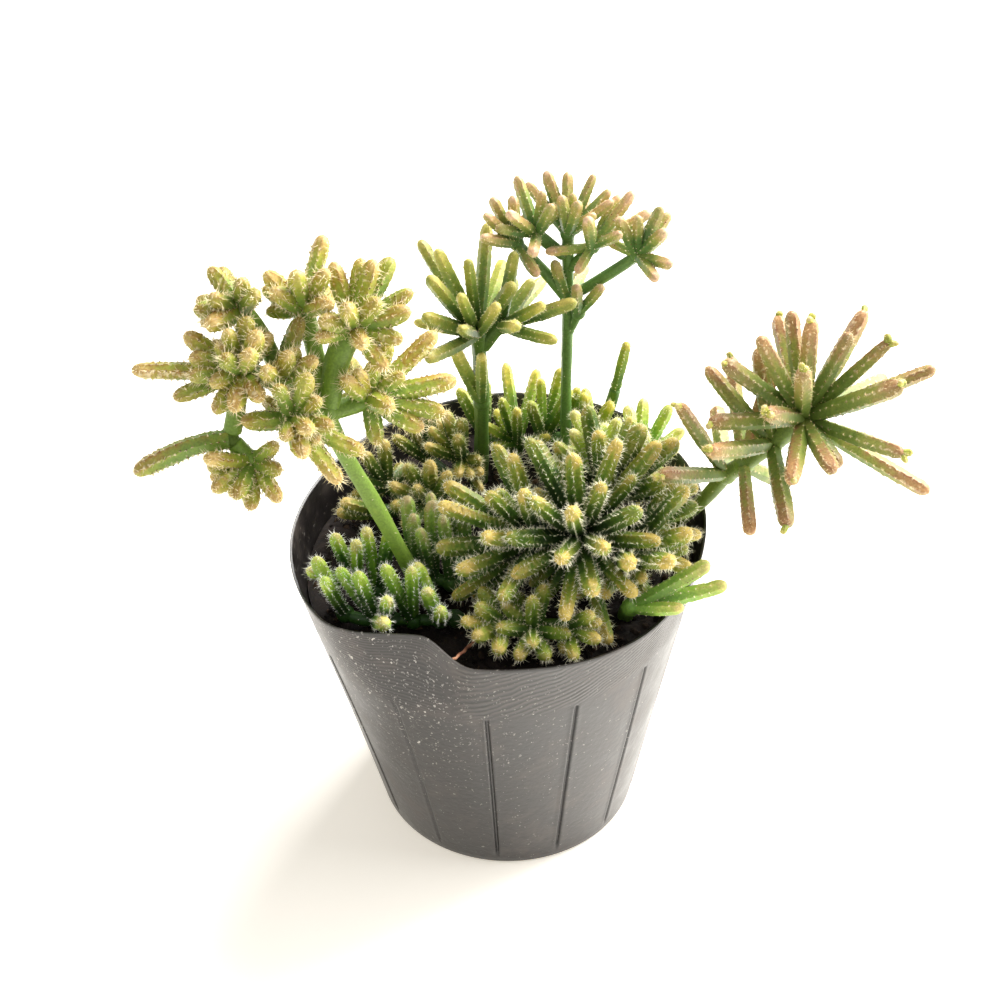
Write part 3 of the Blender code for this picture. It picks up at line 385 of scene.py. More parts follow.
# How each spray looks: its colours from foot to tip; the flush that the sun gives, how strong it is, and how
# far the upper side turns towards the tip's colour; corky scars; rows of ribs, the pitch of areoles and their
# knobs; girth at the foot; bristles with length, girth, number and tilt to the tip; the felt's size; the share
# of bare areoles and of brown felt; the bristles at a tip; how many more small shoots a whorl has
USUAL_LOOK = dict(
    flushed=0.3, sunny=0.2, corky=0.25, rows=7, pitch=1.3, knobs=0.05, foot=0.8, length=1.0, girth=0.05,
    cushion=0.18, spines=2, tilt=1.0, bare=0.1, brown=0.1, crown=32, more=2,
)
LOOKS = {
    "right_low_stems": dict(
        USUAL_LOOK, slot="fresh_green_stems", colours=("76a040", "92b44a", "b2c45a", "dccf80"),
        flush="c2a662", sunny=0.1, corky=0.2, cork="d8d2a4", pitch=1.6, knobs=0.04, foot=0.85,
        bristle="ece3bd", length=0.5, cushion=0.2, bare=0.2, crown=10, more=0,
    ),
    "right_spray": dict(
        USUAL_LOOK, slot="mauve_shoots", colours=("667a30", "8a8e42", "a68f58", "cba26c"), flush="9a6c4a",
        flushed=0.9, sunny=0.35, corky=0.75, cork="e2d2a8", rows=6, pitch=1.7, knobs=0.03, foot=0.66,
        bristle="e6d2a2", girth=0.07, cushion=0.2, tilt=1.8, bare=0.3, brown=0.5, more=1,
    ),
    "left_spray": dict(
        USUAL_LOOK, slot="tan_shoots", colours=("76923a", "94a03c", "b2ac4c", "d6c07a"), flush="966c2e",
        flushed=0.75, corky=0.6, cork="e8dcb0", pitch=1.15, foot=0.78, bristle="f0e2b8", length=1.6,
        girth=0.07, cushion=0.2, spines=3, tilt=1.8, brown=0.6, crown=40, more=6,
    ),
    "back_spray": dict(
        USUAL_LOOK, slot="olive_shoots", colours=("5e8040", "98a052", "b8aa66", "dcbc98"), flush="b8845e",
        flushed=0.6, corky=0.35, cork="e2d2b0", rows=6, bristle="f0e4be", length=0.6, tilt=1.2, bare=0.2,
        brown=0.3, crown=16,
    ),
    "back_left_spray": dict(
        USUAL_LOOK, slot="grey_green_shoots", colours=("52702e", "7c8e3c", "a2a448", "ccc064"),
        flush="a08a48", flushed=0.4, sunny=0.25, cork="d6cc98", rows=6, pitch=1.6, knobs=0.04, foot=0.7,
        bristle="ece2b4", length=0.6, tilt=1.2, bare=0.25, brown=0.2, crown=14,
    ),
    "centre_rosette": dict(
        USUAL_LOOK, slot="dark_green_shoots", colours=("223a14", "507024", "829434", "c6b05a"),
        flush="a08040", sunny=0.12, cork="ded6a4", knobs=0.06, foot=0.66, bristle="f9f1d8", length=1.5,
        girth=0.055, cushion=0.17, spines=3, tilt=0.9, crown=36, more=10,
    ),
    "front_low_tuft": dict(
        USUAL_LOOK, slot="yellow_green_shoots", colours=("446420", "7a9632", "a4ac48", "ccb866"),
        flush="a8843e", cork="e2d79c", pitch=1.2, knobs=0.06, bristle="f9efd0", length=1.4, girth=0.055,
        cushion=0.17, spines=3, tilt=0.9, crown=34, more=14,
    ),
    "front_left_tuft": dict(
        USUAL_LOOK, slot="fresh_green_shoots", colours=("2f541c", "76a234", "a6c642", "c2bc6c"),
        flush="c4906a", flushed=0.15, sunny=0.1, corky=0.2, cork="dfe0b4", pitch=1.1, bristle="fcf8ee",
        length=1.2, girth=0.042, cushion=0.16, spines=3, tilt=0.6, brown=0.05, crown=46, more=0,
    ),
    "front_middle_tuft": dict(
        USUAL_LOOK, slot="shaded_green_shoots", colours=("466a2e", "70963e", "9ab454", "bcaa78"),
        flush="ac8a60", flushed=0.2, sunny=0.1, corky=0.2, cork="cfd0a4", pitch=1.2, bristle="ece8ce",
        length=1.05, girth=0.04, cushion=0.16, spines=3, tilt=0.6, brown=0.05, crown=38,
    ),
    "mid_left_tuft": dict(
        USUAL_LOOK, slot="moss_green_shoots", colours=("34501c", "5a7228", "848c38", "c8b266"),
        flush="ac843e", cork="e2d69a", knobs=0.06, foot=0.75, bristle="f6ebc4", length=1.2, girth=0.055,
        bare=0.15, brown=0.15, crown=42, more=7,
    ),
    "back_tuft": dict(
        USUAL_LOOK, slot="olive_upright_shoots", colours=("4a6e28", "7a9634", "a4ae40", "d8c85c"),
        flush="ae9446", flushed=0.2, cork="ded29c", rows=6, foot=0.75, bristle="f5ebc6", bare=0.15,
        brown=0.15, more=4,
    ),
    "right_back_tuft": dict(
        USUAL_LOOK, slot="pale_green_shoots", colours=("7ca446", "a6c04e", "c4ce64", "e4d88c"),
        flush="c4ac70", flushed=0.2, corky=0.3, cork="ece4bc", rows=6, pitch=1.2, foot=0.75,
        bristle="fbf2d0", length=1.1, bare=0.15, crown=38, more=6,
    ),
}

# The dry rootlet that has come up out of the soil at the front
ROOTLET_RADIUS = 0.45
ROOTLET_SIDES = 9
ROOTLET_RINGS = 44
ROOTLET = [(-2.5, -21, 62), (-3.6, -22.5, 67.5), (-6, -28, 70.2), (-9, -33.5, 71.3), (-11.6, -38, 73)]

# How shoots are grown
LINE_POINTS = 9
ROOTED = 0.9
LENGTH_SPREAD = (0.92, 1.08)
GIRTH_SPREAD = (0.85, 1.08)
CLEARANCE = 0.7
CROWDING = -0.5
MIN_ANGLE = math.radians(19)
STEM_BEADS = 1.5
HUB_SEARCH = 0.5
SHORTER = (1.0, 0.82, 0.66)
TURNS = [
    (0, 0), (6, 0), (-6, 0), (0, 8), (0, -8), (9, 9), (-9, 9), (9, -9), (-9, -9), (14, 0), (-14, 0),
    (0, 16), (0, -16), (16, 12), (-16, 12), (16, -12), (-16, -12), (0, 24), (0, -24), (24, 0), (-24, 0),
]

# How the room between the chosen shoots is filled
FILL_DIRECTIONS = 80
FILL_SPREAD = math.radians(27)
FILL_LENGTH = (0.7, 0.95)
FILL_SEED = 500
LOWEST_FILL = -0.6
FRONTMOST_FILL = 0.9

# The small shoots that make each head full
THICKET_DIRECTIONS = 170
THICKET_SPREAD = math.radians(17)
THICKET_LENGTH = (0.5, 0.85)
THICKET_GIRTH = (0.78, 0.95)
THICKET_SEED = 1300
LONE_SHOOTS = 3

# How a shoot is drawn
SKIN_SEED = 40
RIB_RELIEF = 0.11
RIB_SWAY = 0.12
BETWEEN_KNOBS = 0.25
UNEVEN = 0.02
SLIMMING = (0.02, 0.2)
WAIST = (0.0, 0.06)
WAIST_PLACE = (0.3, 0.6)
WAIST_SPAN = 0.12
BLUNT = 1.25
CAP_STEPS = 5
RING_SHIFT = 0.12
FOOT_WIDTH = 0.8
CREASE = math.radians(32)
ASKEW = (0.31, 0.17, 0.93)

# How a stem and the swollen joints on it are drawn
STEM_SIDES = 14
STEM_STEP = 1.5
STEM_AREOLES = 11
STEM_STREAKS = (0.35, 0.65)
STEM_TONES = (0.4, 0.6)
STEM_LOOK = dict(spines=1, cushion=0.17, bare=0.35, brown=0.2)
STEM_CAP = 1.02
LONG_FOOT = 0.95
LONG_TONE = 0.3
JOINT_STEP = 21.0
JOINT_SWELL = 0.05
HUB_SIZE = 1.25
HUB_SIDES = 12
HUB_RINGS = 8

# How felt and bristles stand: how deep their feet are, how unevenly they point, and how their sizes vary
SUNK = 0.05
FELT_HEIGHT = 0.22
SIZE_SPREAD = (0.8, 1.25)
BRISTLE_SCATTER = 0.45
BRISTLE_SPREAD = (0.5, 1.3)
CROWN_SCATTER = 0.38
CROWN_SPREAD = (0.55, 1.25)
STUNTED = 0.3
SHADE_SPREAD = 0.22
DARKEST = 0.24

# The new joints that bud at the tips of the right spray, some tips with none
BUD_LOOK = dict(
    colours=("8f9a3a", "a9ab48", "c2b75a", "d8c88a"), flushed=0.1, corky=0.3, length=0.6, pitch=0.8,
    crown=12, cushion=0.16, foot=0.8,
)
BUD_SEED = 77
BUDS = (2, 0, 1, 3)
BUD_LENGTH = (1.5, 2.4)
BUD_GIRTH = (0.55, 0.85)
BUD_SPLAY = 0.9
BUD_ROOTED = 0.7
BUD_ROOM = 1.5


def unit(vector):
    return vector / np.linalg.norm(vector)


def units(vectors):
    """Many directions at once, each made one unit long."""
    return vectors / np.linalg.norm(vectors, axis=-1, keepdims=True)


def around(turn, side, other):
    """The outward direction at each turn about a line whose two sides are given."""
    return np.cos(turn)[:, None] * side + np.sin(turn)[:, None] * other


def smooth_step(value):
    value = min(max(value, 0.0), 1.0)
    return value * value * (3 - 2 * value)


def even_directions(count):
    """Directions spread evenly over a sphere along a golden spiral."""
    golden_angle = math.pi * (3 - math.sqrt(5))
    for step in range(count):
        height = 1 - (2 * step + 1) / count
        ring = math.sqrt(1 - height * height)
        turn = step * golden_angle
        yield np.array([ring * math.cos(turn), ring * math.sin(turn), height])


def pot_radius(angle, height):
    """The outside of the pot, which tapers and is squeezed a little oval towards the rim."""
    share = height / POT_HEIGHT
    round_radius = BASE_RADIUS + (RIM_RADIUS - BASE_RADIUS) * share
    return round_radius * (1 + OVAL_SHARE * share * math.cos(2 * (angle - OVAL_TURN)))


def along_rim(angle, spans):
    """How far, from 0 to 1, a change of the rim has grown at this angle."""
    bearing = math.degrees(angle)
    grown = 1.0
    for start, full in spans:
        grown *= smooth_step((bearing - start) / (full - start))
    return grown


def dented(angle):
    """How far, from 0 to 1, the soft wall is pressed in at the front left."""
    return along_rim(angle, PRESS_SPAN)


def rim_height(angle):
    """The rim stands a little higher where it is pressed in, and dips along the front right."""
    rise = RISE * along_rim(angle, RISE_SPAN) + SAG * along_rim(angle, SAG_SPAN)
    return POT_HEIGHT + rise + PRESS_LIFT * dented(angle)


def groove_depth(angle, height, radius):
    """A pressed groove: a narrow channel between two soft raised lips, the left one higher."""
    pitch = 2 * math.pi / RIBS
    number = round((angle - RIB_TURN) / pitch)
    across = (angle - RIB_TURN - number * pitch) * radius
    along = smooth_step((height - RIB_FOOT) / GROOVE_END) * smooth_step((RIB_TOP - height) / GROOVE_END)
    depth = RIB_DEPTH * math.exp(-((across / GROOVE_HALF) ** 4))
    for place, lip in GROOVE_LIPS:
        depth -= lip * math.exp(-(((across - place) / GROOVE_LIP_HALF) ** 2))
    return depth * along * GROOVE_SHARES[number % RIBS]


def flow_lines(angle, height):
    """Where in their waves the fine moulding lines under the rim are here, and how strong they are.

    They fan out from a weld at the front: coarse and rising to its right, fine and nearly level to its left.
    """
    drop = POT_HEIGHT - height
    bearing = (math.degrees(angle) - FLOW_WELD + 180) % 360 - 180
    arc = math.radians(bearing) * RIM_RADIUS
    pitch, slope = FLOW_RIGHT if bearing > 0 else FLOW_LEFT
    wander = 0.5 * math.sin(0.11 * arc + 1) + 0.2 * math.sin(0.43 * arc)
    phase = (drop + slope * abs(arc) + wander) / pitch
    fade = smooth_step(drop / FLOW_STARTS) * smooth_step((RIM_BAND - drop) / FLOW_ENDS)
    fade = fade * smooth_step(abs(bearing) / WELD_SPAN)
    # The lines fade at the back, where both flows meet again
    behind = smooth_step((180 - abs(bearing)) / FLOW_FADE)
    return phase, behind * fade * (1.0 if bearing > 0 else LEFT_STRENGTH)


def pot_point(angle, height, inset):
    """A point of the pot's thin shell: at this height and this far in from its outer face."""
    band = smooth_step((height - POT_HEIGHT + RIM_BAND) / RIM_BAND)
    share = height / POT_HEIGHT
    radius = pot_radius(angle, height) - inset - PRESS * band * dented(angle)
    radius -= groove_depth(angle, height, radius)
    belly = 4 * share * (1 - share)
    for waves, size, start in SAG_WAVES:
        radius -= 0.5 * size * (belly + 0.5 * band) * (1 + math.sin(waves * angle + start))
    raised = height + (rim_height(angle) - POT_HEIGHT) * band
    return (
        radius * math.cos(angle) + RIM_OFFSET[0] * share,
        radius * math.sin(angle) + RIM_OFFSET[1] * share,
        raised,
    )


def clear_of_pot(point, radius):
    """True where a shoot of this radius touches neither the soil nor the pot's wall and rim."""
    x, y, z = point
    share = min(z / POT_HEIGHT, 1)
    x = x - RIM_OFFSET[0] * share
    y = y - RIM_OFFSET[1] * share
    angle = math.atan2(y, x)
    if z > rim_height(angle) + radius + GAP:
        return True
    wall = pot_radius(angle, min(z, POT_HEIGHT)) - PRESS * dented(angle)
    if math.hypot(x, y) < wall - WALL - PRESS_SPARE - radius - GAP:
        return z > SOIL_TOP + SOIL_LUMP + radius + GAP
    return False


def shoot_direction(hub, bearing, lean):
    """A bearing of 0 points right and 90 up as the eye sees it. A positive lean comes towards the eye."""
    towards = unit(EYE - hub)
    flat = math.cos(bearing) * ACROSS + math.sin(bearing) * UPWARDS
    flat = unit(flat - flat.dot(towards) * towards)
    return math.cos(lean) * flat + math.sin(lean) * towards


def shoot_line(hub, direction, length, bend):
    """A shoot's middle line, which turns up a little towards the light."""
    along = np.linspace(0, 1, LINE_POINTS)[:, None]
    return hub + direction * (length * along - ROOTED * (1 - along)) + np.array([0, 0, bend]) * along**2


def smooth_line(points, step):
    """A smooth curve through a stem's own points, with a point about every step."""
    points = [np.array(point, float) for point in points]
    padded = [2 * points[0] - points[1], *points, 2 * points[-1] - points[-2]]
    line = []
    for a, b, c, d in zip(padded, padded[1:], padded[2:], padded[3:]):
        pieces = max(2, round(np.linalg.norm(c - b) / step))
        for piece in range(pieces):
            t = piece / pieces
            cubic = 3 * b - 3 * c + d - a
            square = 2 * a - 5 * b + 4 * c - d
            line.append(0.5 * (2 * b + (c - a) * t + square * t**2 + cubic * t**3))
    line.append(points[-1])
    return np.array(line)


class Thicket:
    """What has grown so far, as balls along each shoot and stem, with its spray and its whorl."""

    def __init__(self):
        self.balls = np.zeros((0, 6))

    def add(self, spray, whorl, line, radius):
        marks = np.tile([radius, spray, whorl], (len(line), 1))
        self.balls = np.vstack([self.balls, np.hstack([line, marks])])

    def has_room(self, spray, whorl, line, radius):
        """Whether a shoot is clear of other sprays, and its outer half of its spray's other whorls."""
        distances = np.linalg.norm(line[:, None] - self.balls[None, :, :3], axis=2)
        apart = distances - radius - self.balls[:, 3]
        foreign = self.balls[:, 4] != spray
        sister = ~foreign & (self.balls[:, 5] != whorl)
        if foreign.any() and apart[:, foreign].min() < CLEARANCE:
            return False
        return not sister.any() or apart[len(line) // 2:, sister].min() >= CROWDING


def try_shoot(thicket, spray, whorl, hub, direction, length, habit):
    """The shoot's line, or None where it would run into another spray, the soil or the pot."""
    line = shoot_line(hub, direction, length, habit["bend"])
    if not all(clear_of_pot(point, habit["radius"]) for point in line[2:]):
        return None
    if not thicket.has_room(spray, whorl, line, habit["radius"]):
        return None
    return line


def crowded(direction, beside, angle):
    """Whether a shoot of the same whorl already points this way."""
    return bool(beside) and max(other.dot(direction) for other in beside) > math.cos(angle)


def chosen_shoot(thicket, spray, whorl, hub, bearing, seen, usual, habit, beside, dice):
    """A shoot whose bearing was chosen; where it has no room it is turned a little, then made shorter."""
    length = max(abs(seen), usual * dice.uniform(*LENGTH_SPREAD))
    lean = math.copysign(math.acos(min(1.0, abs(seen) / length)), seen)
    for share in SHORTER:
        for turn, tip in TURNS:
            direction = shoot_direction(hub, math.radians(bearing + turn), lean + math.radians(tip))
            if crowded(direction, beside, MIN_ANGLE):
                continue
            line = try_shoot(thicket, spray, whorl, hub, direction, length * share, habit)
            if line is not None:
                return line, direction
    return None, None


def faces_eye(hub, direction):
    """Whether a shoot would point nearly straight at the eye, where the real plant shows few."""
    return unit(EYE - hub).dot(direction) > FRONTMOST_FILL


def on_stem(spray, hub):
    """The hub moved onto its spray's nearest stem, a little way in from the stem's end."""
    lines = [smooth_line(points, HUB_SEARCH) for _, points in spray["stems"]]
    inner = np.vstack([line[:-2] for line in lines])
    return inner[np.argmin(np.linalg.norm(inner - np.array(hub, float), axis=1))]


def grow():
    """Every chosen, filling and small shoot, as (spray name, kind, line, radius)."""
    grown = []
    thicket = Thicket()
    thicket.add(-1, -1, smooth_line(ROOTLET, STEM_BEADS), ROOTLET_RADIUS)
    for spray, habit in enumerate(SPRAYS.values()):
        for radius, points in habit["stems"]:
            thicket.add(spray, -1, smooth_line(points, STEM_BEADS), radius)
    taken = {}
    for spray, (name, habit) in enumerate(SPRAYS.items()):
        dice = random.Random(habit["seed"])
        for whorl, (hub, chosen, _) in enumerate(habit["whorls"]):
            hub = on_stem(habit, hub)
            taken[name, whorl] = []
            for bearing, seen, *own in chosen:
                usual = own[0] if own else habit["length"]
                line, direction = chosen_shoot(
                    thicket, spray, whorl, hub, bearing, seen, usual, habit, taken[name, whorl], dice
                )
                if line is None:
                    continue
                grown.append((name, "chosen", line, habit["radius"] * dice.uniform(*GIRTH_SPREAD)))
                thicket.add(spray, whorl, line, habit["radius"])
                taken[name, whorl].append(direction)
    for spray, (name, habit) in enumerate(SPRAYS.items()):
        dice = random.Random(habit["seed"] + FILL_SEED)
        for whorl, (hub, _, extra) in enumerate(habit["whorls"]):
            hub = on_stem(habit, hub)
            beside = taken[name, whorl]
            for direction in even_directions(FILL_DIRECTIONS):
                length = habit["length"] * dice.uniform(*FILL_LENGTH)
                if extra == 0 or direction[2] < LOWEST_FILL:
                    continue
                if faces_eye(hub, direction) or crowded(direction, beside, FILL_SPREAD):
                    continue
                line = try_shoot(thicket, spray, whorl, hub, direction, length, habit)
                if line is None:
                    continue
                grown.append((name, "filling", line, habit["radius"] * dice.uniform(*GIRTH_SPREAD)))
                thicket.add(spray, whorl, line, habit["radius"])
                beside.append(direction)
                extra -= 1
    thicken(grown, thicket, taken)
    return grown


def thicken(grown, thicket, taken):
    """Smaller shoots in the room that is left, so that each head is as full as the real one."""
    for spray, (name, habit) in enumerate(SPRAYS.items()):
        dice = random.Random(habit["seed"] + THICKET_SEED)
        directions = list(even_directions(THICKET_DIRECTIONS))
        for whorl, (hub, chosen, _) in enumerate(habit["whorls"]):
            hub = on_stem(habit, hub)
            beside = taken[name, whorl]
            room = LOOKS[name]["more"] * (len(chosen) > LONE_SHOOTS)
            dice.shuffle(directions)
            for direction in directions:
                length = habit["length"] * dice.uniform(*THICKET_LENGTH)
                girth = habit["radius"] * dice.uniform(*THICKET_GIRTH)
                if room == 0 or direction[2] < LOWEST_FILL or faces_eye(hub, direction):
                    continue
                if crowded(direction, beside, THICKET_SPREAD):
                    continue
                line = try_shoot(thicket, spray, whorl, hub, direction, length, habit)
                if line is None:
                    continue
                grown.append((name, "small", line, girth))
                thicket.add(spray, whorl, line, habit["radius"])
                beside.append(direction)
                room -= 1


def colour(code):
    """A linear colour from an sRGB hex code."""
    levels = [int(code[place:place + 2], 16) / 255 for place in (0, 2, 4)]
    return (*(v / 12.92 if v <= 0.04045 else ((v + 0.055) / 1.055) ** 2.4 for v in levels), 1.0)


def add(tree, kind, inputs=None, out=None, **settings):
    """Adds a node with its settings and links, and gives back the output asked for, or else the node."""
    made = tree.nodes.new(kind)
    for name, value in settings.items():
        setattr(made, name, value)
    for name, value in (inputs or {}).items():
        if isinstance(value, bpy.types.NodeSocket):
            tree.links.new(value, made.inputs[name])
        else:
            made.inputs[name].default_value = value
    return made if out is None else made.outputs[out]


# The places of a colour mix's sockets
MIX_SHARE, MIX_A, MIX_B, MIX_OUT = 0, 6, 7, 2


def ramp_stops(ramp, stops):
    """Sets a colour ramp's stops from (place, colour) pairs."""
    elements = ramp.color_ramp.elements
    while len(elements) > 1:
        elements.remove(elements[-1])
    elements[0].position, elements[0].color = stops[0]
    for place, tint in stops[1:]:
        elements.new(place).color = tint


def new_material(name, **fixed):
    """A material with its shader's own sockets set, and its tree and shader to build on."""
    material = bpy.data.materials.new(name)
    material.use_nodes = True
    tree = material.node_tree
    shader = tree.nodes["Principled BSDF"]
    for socket, value in fixed.items():
        shader.inputs[socket.replace("_", " ")].default_value = value
    return material, tree, shader


# What a skin's colours follow, from corner to corner
SKIN_FIELDS = ("reach", "streak", "sunned", "corked", "shade")
# How late the tip's colour sets in, and how much a streak, the shoot's own tone and a rib shift it
TIP_CURVE = 2.2
STREAK_SHIFT = 0.3
TONE_SHIFT = 0.3
RIB_SHIFT = 0.16


def skin_marks(look, along, tone, sun, ridge, streak):
    """How near the tip's colour each corner is, its streak, how the sun tans it, its cork and its shade."""
    reach = along**TIP_CURVE + STREAK_SHIFT * (streak - 0.5) + TONE_SHIFT * (tone - 0.5)
    reach = reach + look["sunny"] * (sun - 0.6)
    reach = reach + RIB_SHIFT * (ridge - 0.35)
    sunned = look["flushed"] * (0.3 + 0.7 * np.clip((sun - 0.3) / 0.45, 0, 1)) * (0.5 + 1.1 * ridge)
    corked = 0.35 * ridge + 0.22 * along
    return dict(reach=reach, streak=streak, sunned=sunned, corked=corked, shade=0.82 + 0.33 * tone)


def shoot_skin(name, look):
    """Waxy living skin: green at the foot, yellower and tanned to the tip, with corky scars on its ribs."""
    material, tree, shader = new_material(name + " waxy skin", IOR=1.42, Specular_IOR_Level=0.5)
    place = add(tree, "ShaderNodeTexCoord", out="Object")
    reach, streak, sunned, corked, shade = (
        add(tree, "ShaderNodeAttribute", out="Fac", attribute_name=field) for field in SKIN_FIELDS
    )
    # Blotches about 3 mm across push its colours up and down
    blotch = add(tree, "ShaderNodeTexNoise", {"Vector": place, "Scale": 330.0, "Detail": 3.0}, "Fac")
    blotch = add(tree, "ShaderNodeMath", {0: blotch, 1: 0.8, 2: -0.4}, "Value", operation="MULTIPLY_ADD")
    reach = add(tree, "ShaderNodeMath", {0: reach, 1: blotch}, "Value", operation="ADD", use_clamp=True)
    ramp = add(tree, "ShaderNodeValToRGB", {"Fac": reach})
    foot, middle, upper, tip = (colour(code) for code in look["colours"])
    ramp_stops(ramp, [(0.05, foot), (0.4, middle), (0.78, upper), (1.0, tip)])
    # The side that faces up is tanned in patches about 2 mm across
    patch = add(tree, "ShaderNodeTexNoise", {"Vector": place, "Scale": 520.0, "Detail": 3.0}, "Fac")
    streaked = add(tree, "ShaderNodeMath", {0: streak, 1: 0.25, 2: -0.66}, "Value", operation="MULTIPLY_ADD")
    streaked = add(tree, "ShaderNodeMath", {0: reach, 1: 0.5, 2: streaked}, "Value", operation="MULTIPLY_ADD")
    tan = add(tree, "ShaderNodeMath", {0: patch, 1: 0.7, 2: streaked}, "Value", operation="MULTIPLY_ADD")
    tan = add(tree, "ShaderNodeMath", {0: tan, 1: 3.85}, "Value", operation="MULTIPLY", use_clamp=True)
    tan = add(tree, "ShaderNodeMath", {0: tan, 1: sunned}, "Value", operation="MULTIPLY", use_clamp=True)
    sockets = {MIX_SHARE: tan, MIX_A: ramp.outputs["Color"], MIX_B: colour(look["flush"])}
    skin = add(tree, "ShaderNodeMix", sockets, MIX_OUT, data_type="RGBA")
    # Corky scars about 1 mm long lie along the ribs, more of them towards the tip
    scar = add(tree, "ShaderNodeTexNoise", {"Vector": place, "Scale": 1300.0, "Detail": 2.0}, "Fac")
    cork = add(tree, "ShaderNodeMath", {0: scar, 1: 0.9, 2: corked}, "Value", operation="MULTIPLY_ADD")
    edges = {"Value": cork, "From Min": 0.82, "From Max": 1.0, "To Max": look["corky"]}
    cork = add(tree, "ShaderNodeMapRange", edges, "Result")
    sockets = {MIX_SHARE: cork, MIX_A: skin, MIX_B: colour(look["cork"])}
    skin = add(tree, "ShaderNodeMix", sockets, MIX_OUT, data_type="RGBA")
    # Pits and flecks about 0.4 mm across, and each shoot is a little lighter or darker than the next
    fleck = add(tree, "ShaderNodeTexNoise", {"Vector": place, "Scale": 2300.0, "Detail": 2.0}, "Fac")
    edges = {"Value": fleck, "From Min": 0.3, "From Max": 0.75, "To Min": 0.8, "To Max": 1.22}
    light = add(tree, "ShaderNodeMapRange", edges, "Result")
    light = add(tree, "ShaderNodeMath", {0: light, 1: shade}, "Value", operation="MULTIPLY")
    sockets = {MIX_SHARE: 1.0, MIX_A: skin, MIX_B: light}
    skin = add(tree, "ShaderNodeMix", sockets, MIX_OUT, data_type="RGBA", blend_type="MULTIPLY")
    tree.links.new(skin, shader.inputs["Base Color"])
    rough = add(tree, "ShaderNodeMapRange", {"Value": fleck, "To Min": 0.28, "To Max": 0.6}, "Result")
    tree.links.new(rough, shader.inputs["Roughness"])
    relief = add(tree, "ShaderNodeMath", {0: fleck, 1: scar}, "Value", operation="ADD")
    bump = add(tree, "ShaderNodeBump", {"Height": relief, "Strength": 0.4, "Distance": 0.00012}, "Normal")
    tree.links.new(bump, shader.inputs["Normal"])
    return material


def bristle_horn(name, code):
    """Dry horny bristles and the felt that they stand in: pale straw, and brown where the felt is old."""
    material, tree, shader = new_material(name + " dry bristle", Roughness=0.7, IOR=1.5)
    tone = add(tree, "ShaderNodeAttribute", out="Fac", attribute_name="tone")
    pale = colour(code)
    ramp = add(tree, "ShaderNodeValToRGB", {"Fac": tone})
    ramp_stops(ramp, [
        (0.0, colour("4a2f1a")),
        (0.14, colour("6e4826")),
        (0.22, tuple(v * 0.65 for v in pale[:3]) + (1.0,)),
        (0.5, pale),
        (1.0, tuple(min(1.0, v * 1.15) for v in pale[:3]) + (1.0,)),
    ])
    tree.links.new(ramp.outputs["Color"], shader.inputs["Base Color"])
    return material


def template(shape):
    """The corners and triangles of a shape that is stamped many times."""
    bmesh.ops.triangulate(shape, faces=shape.faces)
    shape.verts.index_update()
    corners = np.array([vertex.co for vertex in shape.verts])
    faces = np.array([[vertex.index for vertex in face.verts] for face in shape.faces])
    shape.free()
    return corners, faces


class Stock:
    """Collects stamped copies of templates, with a few values for each corner, until they become one mesh."""

    def __init__(self, *fields):
        self.corners = []
        self.faces = []
        self.fields = {field: [] for field in fields}
        self.count = 0

    def put(self, corners, faces, **values):
        """Adds copies: corners is (copies, corners of one, 3). A value is for all, a copy or a corner."""
        copies, each, _ = corners.shape
        starts = self.count + each * np.arange(copies)
        self.corners.append(corners.reshape(-1, 3))
        self.faces.append((faces[None] + starts[:, None, None]).reshape(-1, 3))
        for field, store in self.fields.items():
            value = np.asarray(values[field], float)
            if value.ndim < 2 and value.size in (1, copies):
                value = np.broadcast_to(value.reshape(-1, 1), (copies, each))
            store.append(value.reshape(-1))
        self.count += copies * each

    def piece(self, name, material, smooth=True):
        """The finished object, in metres."""
        corners = np.vstack(self.corners) * MM
        faces = np.vstack(self.faces)
        mesh = bpy.data.meshes.new(name)
        mesh.vertices.add(len(corners))
        mesh.vertices.foreach_set("co", corners.astype(np.float32).ravel())
        mesh.loops.add(faces.size)
        mesh.loops.foreach_set("vertex_index", faces.astype(np.int32).ravel())
        mesh.polygons.add(len(faces))
        mesh.polygons.foreach_set("loop_start", np.arange(0, faces.size, 3, dtype=np.int32))
        mesh.polygons.foreach_set("use_smooth", np.full(len(faces), smooth))
        mesh.update(calc_edges=True)
        mesh.validate()
        if smooth:
            mesh.set_sharp_from_angle(angle=CREASE)
        for field, store in self.fields.items():
            layer = mesh.attributes.new(field, "FLOAT", "POINT")
            layer.data.foreach_set("value", np.concatenate(store).astype(np.float32))
        mesh.materials.append(material)
        obj = bpy.data.objects.new(name, mesh)
        bpy.context.scene.collection.objects.link(obj)
        return obj


@functools.cache
def sphere(sides, rings):
    """A sphere's corners as (ring from the tip, column), and its triangles, to be drawn out along a line."""
    shape = bmesh.new()
    bmesh.ops.create_uvsphere(shape, u_segments=sides, v_segments=rings, radius=1)
    corners, faces = template(shape)
    ring = np.rint(np.arccos(np.clip(corners[:, 2], -1, 1)) / math.pi * rings).astype(int)
    column = np.rint(np.arctan2(corners[:, 1], corners[:, 0]) / (2 * math.pi) * sides).astype(int) % sides
    return ring, column, faces


def frame_of(direction):
    """Two directions square to this one."""
    side = units(np.cross(direction, ASKEW))
    return side, np.cross(direction, side)


